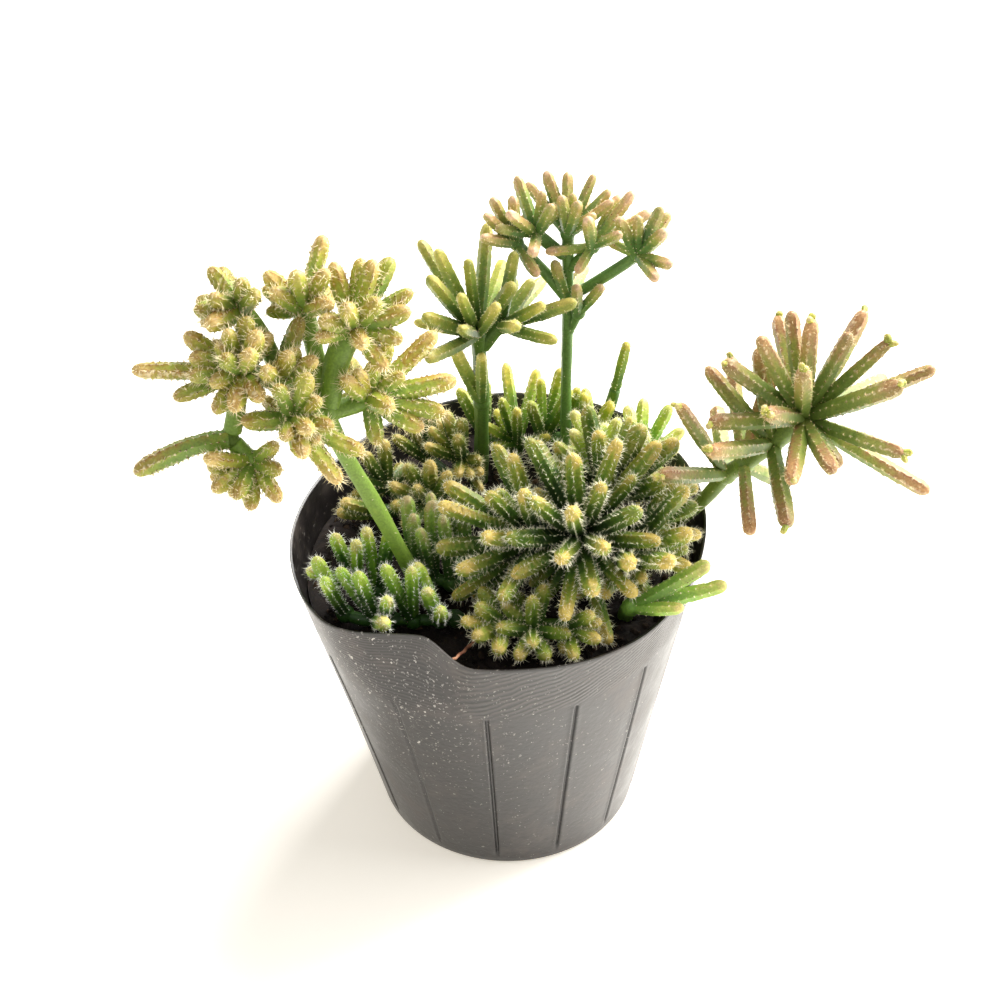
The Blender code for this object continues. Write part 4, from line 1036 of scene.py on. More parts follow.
class Path:
    """A line that can be asked for the point, direction and side at any distance from its end."""

    def __init__(self, line):
        self.line = np.asarray(line, float)
        steps = np.linalg.norm(np.diff(self.line, axis=0), axis=1)
        self.marks = np.concatenate([[0], np.cumsum(steps)])
        self.length = self.marks[-1]
        self.slopes = units(np.gradient(self.line, self.marks, axis=0))
        self.side = frame_of(unit(self.line[-1] - self.line[0]))[0]

    def between(self, distance, values):
        """The line's values at these distances from the foot."""
        return np.stack([np.interp(distance, self.marks, values[:, axis]) for axis in range(3)], axis=-1)

    def at(self, distance):
        return self.between(distance, self.line)

    def frames(self, distance):
        """The direction and two sides at these distances from the foot."""
        slope = units(self.between(distance, self.slopes))
        side = units(self.side - (slope @ self.side)[..., None] * slope)
        return slope, side, np.cross(slope, side)


def tube(path, sides, rings):
    """A round piece along a path: its corners' ring, column, distance and way outward, and its faces."""
    ring, column, faces = sphere(sides, rings)
    distance = path.length * (1 - ring / rings)
    _, side, other = path.frames(distance)
    return ring, column, distance, around(2 * math.pi * column / sides, side, other), faces


def shoot_rings(length, radius, step, dice):
    """How far from the foot, and how wide, a shoot's rings are: its domed tip, its body and its foot."""
    cap = min(BLUNT * radius, length / 3)
    angles = np.linspace(0, math.pi / 2, CAP_STEPS + 1)
    distances = list(length - cap * (1 - np.cos(angles)))
    widths = list(np.sin(angles))
    body = max(3, round((length - cap) / step))
    for ring in range(1, body):
        shift = dice.uniform(-RING_SHIFT, RING_SHIFT)
        distances.append((length - cap) * (1 - (ring + shift) / body))
        widths.append(1.0)
    distances += [0.0, 0.0]
    widths += [FOOT_WIDTH, 0.0]
    return np.array(distances), np.array(widths)


def girth_of(share, habits):
    """How thick a shoot is along it: slim at the foot, full past its middle, with a slight waist."""
    foot, slim, waist, place = habits
    grown = foot + (1 - foot) * np.clip(share / 0.5, 0, 1) ** 0.7
    taper = 1 - slim * np.clip((share - 0.55) / 0.45, 0, 1) ** 1.6
    return grown * taper - waist * np.exp(-(((share - place) / WAIST_SPAN) ** 2))


def put_shoot(skin, path, radius, look, dice, tone):
    """Draws a ribbed shoot with a knob at each areole, and gives back its areoles and its tip's corners."""
    rows = look["rows"]
    sides = 2 * rows
    distances, widths = shoot_rings(path.length, radius, look["pitch"] / 2, dice)
    shape = (look["foot"], dice.uniform(*SLIMMING), dice.uniform(*WAIST), dice.uniform(*WAIST_PLACE))
    last = len(distances) - 1
    ring, column, faces = sphere(sides, last)
    turn = dice.uniform(0, 2 * math.pi)
    distance = distances[ring]
    share = distance / path.length
    rib = column % 2 == 0
    knob = rib & ((ring + column // 2) % 2 == 0) & (ring > CAP_STEPS) & (ring < last - 1)
    ridge = np.where(knob, 1 + look["knobs"], 1 - BETWEEN_KNOBS * look["knobs"])
    relief = np.where(rib, ridge, 1 - RIB_RELIEF)
    relief = 1 + (relief - 1) * np.clip(1.6 * widths[ring] - 0.6, 0, 1)
    relief = relief + np.array([dice.gauss(0, UNEVEN) for _ in ring])
    width = widths[ring] * girth_of(share, shape) * relief
    angle = turn + 2 * math.pi * (column + RIB_SWAY * np.sin(3 * distance + turn)) / sides
    slope, side, other = path.frames(distance)
    out = around(angle, side, other)
    corners = path.at(distance) + out * (radius * width)[:, None]
    streaks = np.array([dice.random() for _ in range(sides)])
    streaks[::2] = 0.5 * (streaks[1::2] + np.roll(streaks[1::2], 1))
    marks = skin_marks(look, share, tone, 0.5 + 0.5 * out[:, 2], 0.5 * rib + 0.5 * knob, streaks[column])
    skin.put(corners[None], faces, **marks)
    dome = (ring > 0) & (ring <= CAP_STEPS)
    rise = widths[ring][dome]
    crown = out[dome] * rise[:, None] + slope[dome] * np.sqrt(1 - rise**2)[:, None]
    return dict(areoles=(corners[knob], out[knob], slope[knob], share[knob]), tip=(corners[dome], crown))


def spike(sides, middle):
    """A spike one unit long, with its middle at this height."""
    shape = bmesh.new()
    bmesh.ops.create_cone(shape, cap_ends=True, segments=sides, radius1=1, radius2=0, depth=1)
    bmesh.ops.translate(shape, vec=(0, 0, middle), verts=shape.verts)
    return template(shape)


# A bristle, and the low mound of felt that an areole's bristles stand in
BRISTLE = spike(3, 0.5)
CUSHION = spike(4, 0.25)


def put_upright(stock, shape, feet, directions, widths, heights, tones):
    """Stamps a template once for each foot, along its direction, and stunted at the part's outer edges."""
    corners, faces = shape
    side, other = frame_of(directions)
    ends = feet + directions * heights[:, None]
    inside = ((ends > LOW_CORNER) & (ends < HIGH_CORNER)).all(axis=1)
    heights = np.where(inside, heights, STUNTED * heights)
    placed = (
        feet[:, None]
        + corners[None, :, 0, None] * (side * widths[:, None])[:, None]
        + corners[None, :, 1, None] * (other * widths[:, None])[:, None]
        + corners[None, :, 2, None] * (directions * heights[:, None])[:, None]
    )
    stock.put(placed, faces, tone=tones)


def put_bristles(stock, shoot, look, dice):
    """Every areole's felt and bristles, longer towards the tip, and the crown of bristles at the tip."""
    draw = np.random.default_rng(dice.randrange(1 << 30))
    points, out, slope, share = shoot["areoles"]
    kept = draw.random(len(points)) > look["bare"]
    points, out, slope, share = points[kept], out[kept], slope[kept], share[kept]
    count = len(points)
    if count:
        size = look["cushion"] * draw.uniform(*SIZE_SPREAD, count)
        old = draw.random(count) < look["brown"]
        felt = np.where(old, draw.uniform(0.0, 0.15, count), draw.uniform(0.45, 1.0, count))
        feet = points - out * SUNK
        put_upright(stock, CUSHION, feet, out, size, np.full(count, FELT_HEIGHT), felt)
        for spine in range(look["spines"]):
            tilt = draw.uniform(-0.2, look["tilt"], count)[:, None]
            direction = units(out + tilt * slope + draw.normal(0, BRISTLE_SCATTER, (count, 3)))
            length = look["length"] * (0.3 + 0.75 * share**1.5) * draw.uniform(*BRISTLE_SPREAD, count)
            girth = look["girth"] * draw.uniform(*SIZE_SPREAD, count)
            shade = np.clip(0.6 + SHADE_SPREAD * draw.standard_normal(count), DARKEST, 1)
            put_upright(stock, BRISTLE, feet, direction, girth, length, shade)
    points, out = shoot["tip"]
    chosen = draw.choice(len(points), size=min(look["crown"], len(points)), replace=False)
    points, out = points[chosen], out[chosen]
    count = len(points)
    direction = units(out + draw.normal(0, CROWN_SCATTER, (count, 3)))
    length = look["length"] * draw.uniform(*CROWN_SPREAD, count)
    shade = np.clip(0.65 + SHADE_SPREAD * draw.standard_normal(count), DARKEST, 1)
    girth = np.full(count, look["girth"])
    put_upright(stock, BRISTLE, points - out * 2 * SUNK, direction, girth, length, shade)


def put_stem(skin, line, radius, look, tone, dice):
    """A stem: smooth and green, a little swollen where it was jointed, with a few flat areoles."""
    path = Path(line)
    rings = max(6, round(path.length / STEM_STEP))
    ring, column, distance, out, faces = tube(path, STEM_SIDES, rings)
    joints = 1 + JOINT_SWELL * np.cos(distance / JOINT_STEP * 2 * math.pi + dice.uniform(0, 6))
    width = joints * np.where((ring == 0) | (ring == rings), 0.0, 1.0)
    slope = path.frames(distance)[0]
    corners = path.at(distance) + out * (radius * width)[:, None]
    streaks = np.array([dice.uniform(*STEM_STREAKS) for _ in range(STEM_SIDES)])
    along = 0.02 + 0.12 * distance / path.length
    marks = skin_marks(look, along, tone, 0.45 + 0.25 * out[:, 2], 0, streaks[column])
    skin.put(corners[None], faces, **marks)
    chosen = (ring > 1) & (ring < rings - 1) & ((3 * ring + column) % STEM_AREOLES == 0)
    return dict(areoles=(corners[chosen], out[chosen], slope[chosen], 0.2 * np.ones(chosen.sum())))


def put_hub(skin, centre, radius, look, tone):
    """The swollen joint between stems, or that a whorl grows from."""
    ring, column, faces = sphere(HUB_SIDES, HUB_RINGS)
    polar = math.pi * ring / HUB_RINGS
    angle = 2 * math.pi * column / HUB_SIDES
    out = np.stack([np.sin(polar) * np.cos(angle), np.sin(polar) * np.sin(angle), np.cos(polar)], axis=-1)
    corners = centre + radius * out
    skin.put(corners[None], faces, **skin_marks(look, 0.08, tone, 0.4 + 0.25 * out[:, 2], 0, 0.45))


def ends_free(stem, habit):
    """Whether a stem ends where nothing grows on: it is then a long shoot with a tip of its own."""
    end = np.array(stem[1][-1], float)
    near = [hub for hub, _, _ in habit["whorls"]]
    near += [point for other in habit["stems"] if other is not stem for point in other[1]]
    return min(np.linalg.norm(end - np.array(point, float)) for point in near) > 3 * stem[0]


def build_spray(name, grown):
    """A spray's skin, which replaces its solid, and its bristles."""
    habit = SPRAYS[name]
    look = LOOKS[name]
    dice = random.Random(habit["seed"] + SKIN_SEED)
    skin = Stock(*SKIN_FIELDS)
    bristles = Stock("tone")
    sparse = dict(look, **STEM_LOOK)
    for stem in habit["stems"]:
        radius, points = stem
        line = smooth_line(points, STEM_BEADS)
        if ends_free(stem, habit):
            shoot = put_shoot(skin, Path(line), radius, dict(look, foot=LONG_FOOT), dice, LONG_TONE)
            put_bristles(bristles, shoot, look, dice)
            continue
        drawn = put_stem(skin, line, radius, look, dice.uniform(*STEM_TONES), dice)
        drawn["tip"] = tuple(part[:1] for part in drawn["areoles"][:2])
        put_bristles(bristles, drawn, sparse, dice)
        for end in (line[0], line[-1]):
            put_hub(skin, end, STEM_CAP * radius, look, 0.5)
    for spray, _, line, radius in grown:
        if spray == name:
            shoot = put_shoot(skin, Path(line), radius, look, dice, dice.random())
            put_bristles(bristles, shoot, look, dice)
    for hub, chosen, _ in habit["whorls"]:
        if len(chosen) > 1:
            put_hub(skin, on_stem(habit, hub), HUB_SIZE * habit["radius"], look, dice.random())
    body = skin.piece(name + "_skin", shoot_skin(name, look))
    fuzz = bristles.piece(name + "_bristles", bristle_horn(name, look["bristle"]), smooth=False)
    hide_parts(name)
    for piece in (body, fuzz):
        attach(piece, "root")


def build_buds(grown):
    """The little yellow-green new joints at some tips of the right spray."""
    look = dict(LOOKS["right_spray"], **BUD_LOOK)
    dice = random.Random(BUD_SEED)
    skin = Stock(*SKIN_FIELDS)
    bristles = Stock("tone")
    tips = [line for spray, kind, line, _ in grown if spray == "right_spray" and kind == "chosen"]
    for number, line in enumerate(tips):
        reach = unit(line[-1] - line[-2])
        side, other = frame_of(reach)
        for _ in range(BUDS[number % len(BUDS)]):
            turn = dice.uniform(0, 2 * math.pi)
            away = unit(reach + BUD_SPLAY * (math.cos(turn) * side + math.sin(turn) * other))
            foot = line[-1] - BUD_ROOTED * reach
            stretch = np.linspace(0, dice.uniform(*BUD_LENGTH), 5)[:, None]
            girth = dice.uniform(*BUD_GIRTH)
            if (line[-1] + reach > HIGH_CORNER - BUD_ROOM).any():
                continue
            shoot = put_shoot(skin, Path(foot + away * stretch), girth, look, dice, dice.random())
            put_bristles(bristles, shoot, look, dice)
    body = skin.piece("right_spray_buds", shoot_skin("bud", look))
    fuzz = bristles.piece("right_spray_bud_bristles", bristle_horn("bud", look["bristle"]), smooth=False)
    for piece in (body, fuzz):
        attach(piece, "root")


def spun(profile, columns):
    """A closed skin of revolution from a profile of (radius, height) that starts and ends on the axis."""
    shape = bmesh.new()
    points = [shape.verts.new((radius, 0, height)) for radius, height in profile]
    edges = [shape.edges.new(pair) for pair in zip(points, points[1:])]
    bmesh.ops.spin(
        shape, geom=points + edges, cent=(0, 0, 0), axis=(0, 0, 1), angle=2 * math.pi,
        steps=columns, use_merge=True, use_duplicate=False,
    )
    bmesh.ops.remove_doubles(shape, verts=shape.verts, dist=1e-4)
    bmesh.ops.recalc_face_normals(shape, faces=shape.faces)
    return shape


def finished(name, shape, material, smooth=True):
    """The finished object, in metres, from a shape drawn in millimetres."""
    bmesh.ops.scale(shape, vec=(MM, MM, MM), verts=shape.verts)
    mesh = bpy.data.meshes.new(name)
    shape.to_mesh(mesh)
    shape.free()
    if smooth:
        mesh.shade_smooth()
    mesh.materials.append(material)
    obj = bpy.data.objects.new(name, mesh)
    bpy.context.scene.collection.objects.link(obj)
    return obj


# What the pot's skin follows: its flow lines, which carry painted light and shade, its grooves, darkened as
# # painted shade, and the splash of hard water
POT_FIELDS = ("flow", "strength", "groove", "splash")


def pot_vinyl():
    """Blow-moulded soft vinyl: charcoal with a satin skin, fine flow lines, dust and dried water spots.

    The grooves are darkened as painted shade, and the flow lines carry a painted highlight and painted shade.
    """
    material, tree, shader = new_material("blow-moulded vinyl", IOR=1.52, Specular_IOR_Level=0.6)
    place = add(tree, "ShaderNodeTexCoord", out="Object")
    flow, strength, groove, splash = (
        add(tree, "ShaderNodeAttribute", out="Fac", attribute_name=field) for field in POT_FIELDS
    )
    # Dust lies in soft clouds about 12 mm across. Each flow line is painted lighter on its raised half, a
    # painted highlight, and darker on its other half, painted shade as dark as the painted shade in the
    # grooves
    sockets = {"Vector": place, "Scale": 80.0, "Detail": 6.0, "Roughness": 0.65}
    cloud = add(tree, "ShaderNodeTexNoise", sockets, "Fac")
    ramp = add(tree, "ShaderNodeValToRGB", {"Fac": cloud})
    ramp_stops(ramp, [(0.34, colour("100e0e")), (0.52, colour("221e1d")), (0.68, colour("443d39"))])
    wander = add(tree, "ShaderNodeTexNoise", {"Vector": place, "Scale": 160.0, "Detail": 2.0}, "Fac")
    wave = add(tree, "ShaderNodeMath", {0: wander, 1: 10.0, 2: flow}, "Value", operation="MULTIPLY_ADD")
    wave = add(tree, "ShaderNodeMath", {0: wave}, "Value", operation="SINE")
    lines = add(tree, "ShaderNodeMath", {0: wave, 1: strength}, "Value", operation="MULTIPLY")
    # The raised half of each flow line is lightened as a painted highlight, the other half darkened as painted
    # shade
    flow_highlight = add(tree, "ShaderNodeMapRange", {"Value": lines, "To Max": 0.22}, "Result")
    edges = {"Value": lines, "From Min": -1.0, "From Max": 0.0, "To Min": 0.6, "To Max": 0.0}
    dark = add(tree, "ShaderNodeMapRange", edges, "Result")
    # Water spots, their outlines a little ragged, are thickest at the upper left of the front
    ragged = add(tree, "ShaderNodeTexNoise", {"Vector": place, "Scale": 900.0, "Detail": 2.0}, "Color")
    shift = add(tree, "ShaderNodeVectorMath", {0: ragged, "Scale": 0.002}, "Vector", operation="SCALE")
    moved = add(tree, "ShaderNodeVectorMath", {0: place, 1: shift}, "Vector", operation="ADD")
    marks = 0.0
    for scale, size, few, many, white in SPOTS:
        cells = add(tree, "ShaderNodeTexVoronoi", {"Vector": moved, "Scale": scale})
        chance = add(tree, "ShaderNodeSeparateColor", {"Color": cells.outputs["Color"]}, "Red")
        share = add(tree, "ShaderNodeMapRange", {"Value": splash, "To Min": few, "To Max": many}, "Result")
        grown = add(tree, "ShaderNodeMath", {0: share, 1: chance}, "Value", operation="SUBTRACT")
        grown = add(tree, "ShaderNodeMath", {0: grown, 1: 6.0}, "Value", operation="MULTIPLY", use_clamp=True)
        room = add(tree, "ShaderNodeMath", {0: grown, 1: size}, "Value", operation="MULTIPLY")
        sockets = {0: room, 1: cells.outputs["Distance"]}
        inside = add(tree, "ShaderNodeMath", sockets, "Value", operation="SUBTRACT")
        spot = add(tree, "ShaderNodeMapRange", {"Value": inside, "From Max": 0.05, "To Max": white}, "Result")
        marks = add(tree, "ShaderNodeMath", {0: marks, 1: spot}, "Value", operation="MAXIMUM")
    skin = ramp.outputs["Color"]
    # Over the dust: the flow lines' painted highlight and painted shade, the grooves' painted shade, and the
    # water spots
    for share, code in ((flow_highlight, "7a726a"), (dark, "141211"), (groove, "0d0b0b"), (marks, "d3cdc4")):
        sockets = {MIX_SHARE: share, MIX_A: skin, MIX_B: colour(code)}
        skin = add(tree, "ShaderNodeMix", sockets, MIX_OUT, data_type="RGBA")
    tree.links.new(skin, shader.inputs["Base Color"])
    edges = {"Value": cloud, "From Min": 0.3, "From Max": 0.75, "To Min": 0.27, "To Max": 0.48}
    rough = add(tree, "ShaderNodeMapRange", edges, "Result")
    rough = add(tree, "ShaderNodeMath", {0: marks, 1: 0.3, 2: rough}, "Value", operation="MULTIPLY_ADD")
    tree.links.new(rough, shader.inputs["Roughness"])
    fine = add(tree, "ShaderNodeTexNoise", {"Vector": place, "Scale": 700.0, "Detail": 4.0}, "Fac")
    height = add(tree, "ShaderNodeMath", {0: lines, 1: 0.3, 2: fine}, "Value", operation="MULTIPLY_ADD")
    bump = add(tree, "ShaderNodeBump", {"Height": height, "Strength": 0.35, "Distance": 0.00022}, "Normal")
    tree.links.new(bump, shader.inputs["Normal"])
    return material


def pot_rows():
    """The thin wall as (how far in from its outer face, height): up inside, over the rim and down outside."""
    inner = [(THIN_WALL, height) for height in np.arange(FLOOR, POT_HEIGHT - RIM_BAND, 5)]
    inner += [(THIN_WALL, height) for height in np.arange(POT_HEIGHT - RIM_BAND, POT_HEIGHT - RIM_ROUND, 1.3)]
    edge = [
        (THIN_WALL - 0.05, POT_HEIGHT - RIM_ROUND), (0.75 * THIN_WALL, POT_HEIGHT - 0.05),
        (0.25 * THIN_WALL, POT_HEIGHT), (0.03, POT_HEIGHT - RIM_ROUND),
    ]
    band = list(np.arange(POT_HEIGHT - 2 * RIM_ROUND, RIB_TOP + 0.2, -BAND_STEP))
    groove_ends = [RIB_TOP - step for step in (0, 0.3, 0.6, 0.9, 1.3, 2.0)]
    side = list(np.arange(RIB_TOP - 3.5, RIB_FOOT + 2, -SIDE_STEP))
    foot = [RIB_FOOT + 1.2, RIB_FOOT + 0.6, RIB_FOOT, 2.4, POT_EDGE]
    outer = [(0.0, height) for height in band + groove_ends + side + foot]
    return inner + edge + outer + [(0.25, 0.35), (POT_EDGE, 0.0)]


def pot_shape():
    """The pot's skin, with what its colours follow at each corner."""
    profile = [(0.0, FLOOR), (BASE_RADIUS * 0.5, FLOOR)]
    profile += [(BASE_RADIUS - inset, height) for inset, height in pot_rows()]
    profile += [(BASE_RADIUS * 0.75, 0.0), (BASE_RADIUS * 0.35, 0.0), (0.0, 0.0)]
    columns = len(COLUMN_TURNS) * RIBS
    shape = spun(profile, columns)
    layers = {field: shape.verts.layers.float.new(field) for field in POT_FIELDS}
    for vertex in shape.verts:
        x, y, z = vertex.co
        reach = math.hypot(x, y)
        if reach < 1:
            continue
        rib, column = divmod(round(math.atan2(y, x) / (2 * math.pi) * columns) % columns, len(COLUMN_TURNS))
        angle = RIB_TURN + rib * 2 * math.pi / RIBS + math.radians(COLUMN_TURNS[column])
        angle = math.atan2(math.sin(angle), math.cos(angle))
        if reach < BASE_RADIUS - 2 * POT_EDGE:
            vertex.co = (reach * math.cos(angle), reach * math.sin(angle), z)
            continue
        inset = BASE_RADIUS - reach
        phase, strength = flow_lines(angle, z)
        outside = inset < THIN_WALL / 2
        coarse = 0 < math.degrees(angle) - FLOW_WELD < 180
        wave = FLOW_DEPTH * strength * outside * coarse * math.sin(2 * math.pi * phase)
        vertex.co = pot_point(angle, z, inset + wave)
        vertex[layers["flow"]] = 2 * math.pi * phase
        vertex[layers["strength"]] = strength * outside
        depth = max(0.0, groove_depth(angle, z, reach) / RIB_DEPTH)
        # The groove's depth, by which the skin darkens it as painted shade
        vertex[layers["groove"]] = outside * depth * GROOVE_SHADE
        vertex[layers["splash"]] = smooth_step((SPLASH_REACH - math.dist(vertex.co, SPLASH)) / SPLASH_REACH)
    return shape


def drilled(pot):
    """The pot's mesh with the drain holes cut through its floor."""
    holes = bmesh.new()
    for number in range(DRAIN_HOLES):
        turn = 2 * math.pi * number / DRAIN_HOLES
        made = bmesh.ops.create_cone(
            holes, cap_ends=True, segments=DRAIN_SIDES, radius1=DRAIN_RADIUS, radius2=DRAIN_RADIUS,
            depth=4 * FLOOR,
        )
        middle = (DRAIN_RING * math.cos(turn), DRAIN_RING * math.sin(turn), FLOOR / 2)
        bmesh.ops.translate(holes, vec=middle, verts=made["verts"])
    cutter = finished("drain_cutter", holes, pot.data.materials[0], smooth=False)
    cut = pot.modifiers.new("drain holes", "BOOLEAN")
    cut.object = cutter
    cut.solver = "EXACT"
    graph = bpy.context.evaluated_depsgraph_get()
    mesh = bpy.data.meshes.new_from_object(pot.evaluated_get(graph))
    pot.modifiers.clear()
    bpy.data.objects.remove(cutter)
    return mesh


def build_pot():
    pot = finished("thin_pot", pot_shape(), pot_vinyl())
    pot.data = drilled(pot)
    pot.data.set_sharp_from_angle(angle=POT_CREASE)
    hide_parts("pot")
    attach(pot, "root")


def soil_height(x, y):
    """The lumps of the soil's surface."""
    across, along, small = (math.sin(a * x + b * y + start) for a, b, start in SOIL_WAVES)
    return SOIL_TOP + SOIL_LUMP * (across * along + SMALL_LUMP * small) / (1 + SMALL_LUMP)


def potting_soil(name, dark, mid, light):
    """Damp peat with bark: almost black, with brown grains, and no shine but a little where it is wet."""
    material, tree, shader = new_material(name, IOR=1.4)
    place = add(tree, "ShaderNodeTexCoord", out="Object")
    # Crumbs about 1.5 mm across
    sockets = {"Vector": place, "Scale": 700.0, "Detail": 6.0, "Roughness": 0.7}
    crumb = add(tree, "ShaderNodeTexNoise", sockets, "Fac")
    tone = add(tree, "ShaderNodeAttribute", out="Fac", attribute_name="tone")
    mixed = add(tree, "ShaderNodeMath", {0: crumb, 1: 0.6, 2: -0.1}, "Value", operation="MULTIPLY_ADD")
    mixed = add(tree, "ShaderNodeMath", {0: mixed, 1: tone}, "Value", operation="ADD")
    mixed = add(tree, "ShaderNodeMath", {0: mixed, 1: 0.5}, "Value", operation="MULTIPLY", use_clamp=True)
    ramp = add(tree, "ShaderNodeValToRGB", {"Fac": mixed})
    ramp_stops(ramp, [(0.1, colour(dark)), (0.45, colour(mid)), (0.85, colour(light))])
    tree.links.new(ramp.outputs["Color"], shader.inputs["Base Color"])
    rough = add(tree, "ShaderNodeMapRange", {"Value": crumb, "To Min": 0.7, "To Max": 1.0}, "Result")
    tree.links.new(rough, shader.inputs["Roughness"])
    bump = add(tree, "ShaderNodeBump", {"Height": crumb, "Strength": 0.8, "Distance": 0.0006}, "Normal")
    tree.links.new(bump, shader.inputs["Normal"])
    return material


def soil_shape(dice):
    """The soil's lumpy body, which reaches the wall."""
    top = [(BASE_RADIUS * ring / SOIL_RINGS, SOIL_TOP) for ring in range(SOIL_RINGS + 1)]
    foot = FLOOR + SOIL_SHRINK
    shape = spun(top + [(BASE_RADIUS, SOIL_TOP - 4), (BASE_RADIUS, foot), (0, foot)], SOIL_COLUMNS)
    for vertex in shape.verts:
        x, y, z = vertex.co
        share = math.hypot(x, y) / BASE_RADIUS
        angle = math.atan2(y, x)
        edge = pot_point(angle, z, THIN_WALL + SOIL_SHRINK)
        middle = [offset * z / POT_HEIGHT for offset in RIM_OFFSET]
        x = middle[0] + (edge[0] - middle[0]) * share
        y = middle[1] + (edge[1] - middle[1]) * share
        if z > SOIL_TOP - 1:
            z = soil_height(x, y) + SOIL_ROUGHNESS * dice.uniform(-1, 1) * min(1, 8 * (1.02 - share))
        vertex.co = (x, y, z)
    tint = shape.verts.layers.float.new("tone")
    for vertex in shape.verts:
        vertex[tint] = dice.uniform(0.0, 0.7)
    return shape


def put_grains(stock, dice):
    """Loose grains of peat and bark, most of them flat, each turned its own way."""
    ball = bmesh.new()
    bmesh.ops.create_icosphere(ball, subdivisions=1, radius=1)
    for vertex in ball.verts:
        vertex.co *= dice.uniform(0.75, 1.2)
    corners, faces = template(ball)
    draw = np.random.default_rng(GRAIN_SEED)
    for _ in range(GRAINS):
        angle = dice.uniform(0, 2 * math.pi)
        share = math.sqrt(dice.random())
        size = dice.choice(GRAIN_SIZES)
        x, y, _ = pot_point(angle, SOIL_TOP, THIN_WALL + SOIL_SHRINK + 1.6 * size)
        x *= share
        y *= share
        spin = np.linalg.qr(draw.standard_normal((3, 3)))[0]
        stretch = size * np.array([1.0, dice.uniform(0.6, 1.0), dice.uniform(0.35, 0.8)])
        if np.linalg.det(spin) < 0:
            stretch[0] = -stretch[0]
        placed = (corners * stretch) @ spin.T + np.array([x, y, soil_height(x, y) + 0.25 * size])
        stock.put(placed[None], faces, tone=dice.random() ** 2)


def put_fibres(stock, dice):
    """Thin curved fibres that lie on the soil and rise a little in their middle."""
    for _ in range(FIBRES):
        angle = dice.uniform(0, 2 * math.pi)
        x, y, _ = pot_point(angle, SOIL_TOP, THIN_WALL + 5)
        share = math.sqrt(dice.random())
        heading = dice.uniform(0, 2 * math.pi)
        length = dice.uniform(*FIBRE_LENGTH)
        steps = np.linspace(-0.5, 0.5, 7)
        line = np.stack([
            x * share + length * steps * math.cos(heading) + 0.3 * np.sin(5 * steps),
            y * share + length * steps * math.sin(heading) + 0.3 * np.cos(4 * steps),
            soil_height(x * share, y * share) + 0.9 - 1.6 * steps**2,
        ], axis=1)
        fibre = Path(line)
        ring, _, distance, out, faces = tube(fibre, FIBRE_SIDES, FIBRE_RINGS)
        width = FIBRE_RADIUS * np.sin(math.pi * np.clip(ring / FIBRE_RINGS, 0.0, 1.0)) ** 0.4
        stock.put((fibre.at(distance) + out * width[:, None])[None], faces, tone=dice.uniform(0.5, 1.0))


def build_soil():
    dice = random.Random(SOIL_SEED)
    peat = potting_soil("damp peat", "120d0b", "2a1f19", "5a4534")
    soil = finished("soil_body", soil_shape(dice), peat, smooth=False)
    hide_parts("soil")
    loose = Stock("tone")
    put_grains(loose, dice)
    put_fibres(loose, dice)
    bark = potting_soil("bark crumbs", "17110d", "3a2b20", "7d6248")
    crumbs = loose.piece("soil_crumbs", bark, smooth=False)
    for piece in (soil, crumbs):
        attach(piece, "root")


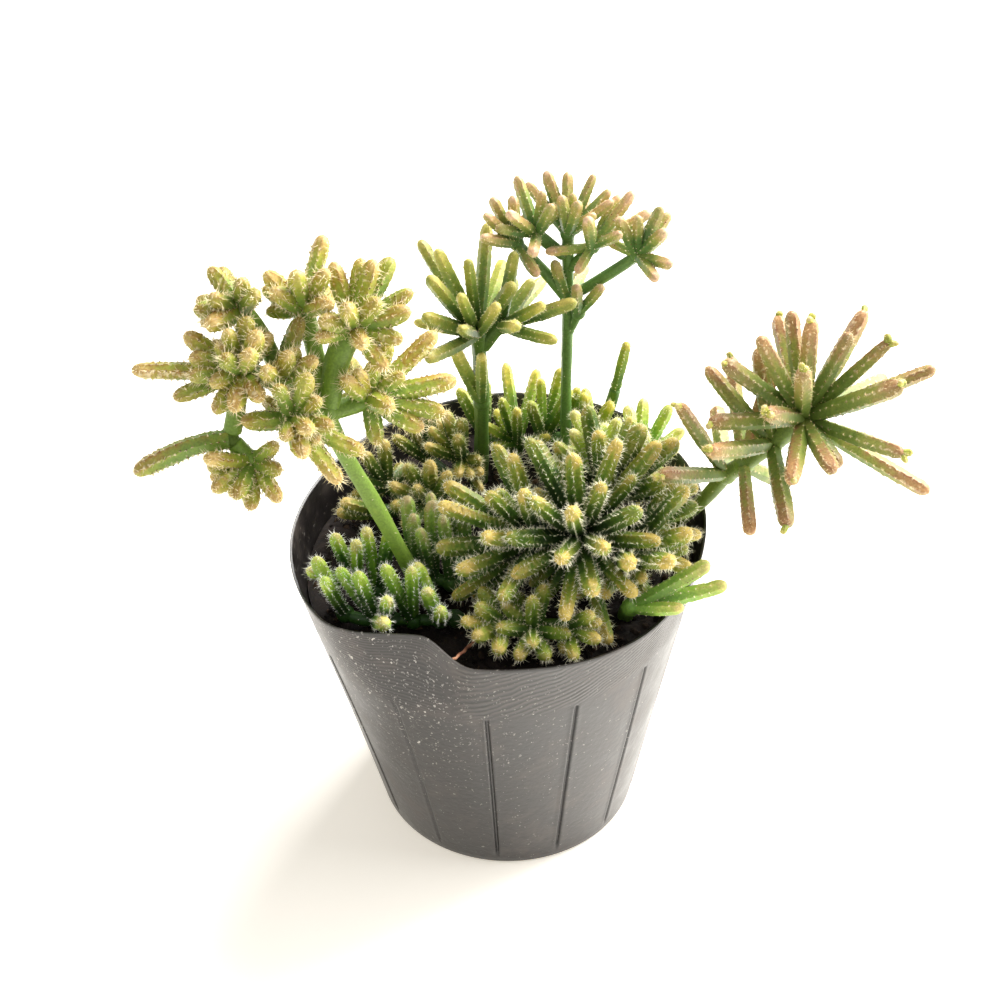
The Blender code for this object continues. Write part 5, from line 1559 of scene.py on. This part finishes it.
def build_rootlet():
    """A dry rootlet with kinks, thinner towards its end, with dull reddish bark that is paler in patches."""
    material, tree, shader = new_material("dry root bark", IOR=1.45, Roughness=0.75)
    place = add(tree, "ShaderNodeTexCoord", out="Object")
    streak = add(tree, "ShaderNodeTexNoise", {"Vector": place, "Scale": 420.0, "Detail": 3.0}, "Fac")
    ramp = add(tree, "ShaderNodeValToRGB", {"Fac": streak})
    ramp_stops(ramp, [(0.3, colour("8a5540")), (0.55, colour("bd8667")), (0.8, colour("d9b090"))])
    tree.links.new(ramp.outputs["Color"], shader.inputs["Base Color"])
    skin = Stock("tone")
    path = Path(smooth_line(ROOTLET, 0.8))
    ring, _, distance, out, faces = tube(path, ROOTLET_SIDES, ROOTLET_RINGS)
    _, side, other = path.frames(distance)
    kink = 0.12 * np.sin(1.9 * distance)[:, None] * side + 0.1 * np.sin(1.2 * distance + 1)[:, None] * other
    width = ROOTLET_RADIUS * (0.62 + 0.38 * ring / ROOTLET_RINGS) * (1 + 0.12 * np.sin(3.1 * distance))
    width = width * np.where((ring == 0) | (ring == ROOTLET_RINGS), 0.0, 1.0)
    skin.put((path.at(distance) + kink + out * width[:, None])[None], faces, tone=0.5)
    rootlet = skin.piece("rootlet_bark", material)
    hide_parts("dry_rootlet")
    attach(rootlet, "root")


def build_studio():
    """A pale floor, a bright soft sky and a camera where the photo was taken from."""
    material, tree, shader = new_material("pale floor", Roughness=0.8, Specular_IOR_Level=0.2)
    shader.inputs["Base Color"].default_value = colour("f4f2ee")
    shader.inputs["Emission Color"].default_value = colour("fff3dc")
    shader.inputs["Emission Strength"].default_value = FLOOR_GLOW
    floor = bmesh.new()
    bmesh.ops.create_grid(floor, x_segments=1, y_segments=1, size=FLOOR_SIZE)
    finished("floor", floor, material, smooth=False)
    world = bpy.data.worlds.new("studio")
    bpy.context.scene.world = world
    world.use_nodes = True
    sky = world.node_tree.nodes["Background"]
    sky.inputs["Color"].default_value = colour("f6f8fa")
    sky.inputs["Strength"].default_value = SKY_LIGHT
    for name, place, size, watts in LAMPS:
        lamp = bpy.data.lights.new(name, "AREA")
        lamp.size = size
        lamp.energy = watts
        lamp.color = LAMP_TINT
        obj = bpy.data.objects.new(name, lamp)
        bpy.context.scene.collection.objects.link(obj)
        obj.location = place
        obj.rotation_euler = (LAMP_AIM - obj.location).to_track_quat("-Z", "Y").to_euler()
    lens = bpy.data.cameras.new("camera")
    lens.lens = LENS
    lens.sensor_width = SENSOR
    camera = bpy.data.objects.new("camera", lens)
    bpy.context.scene.collection.objects.link(camera)
    camera.location = Vector(EYE) * MM
    camera.rotation_euler = Vector(AIM - EYE).to_track_quat("-Z", "Y").to_euler()
    bpy.context.scene.camera = camera
    bpy.context.scene.view_settings.view_transform = "Standard"


build_studio()
GROWN = grow()
for spray_name in SPRAYS:
    build_spray(spray_name, GROWN)
build_buds(GROWN)
build_pot()
build_soil()
build_rootlet()
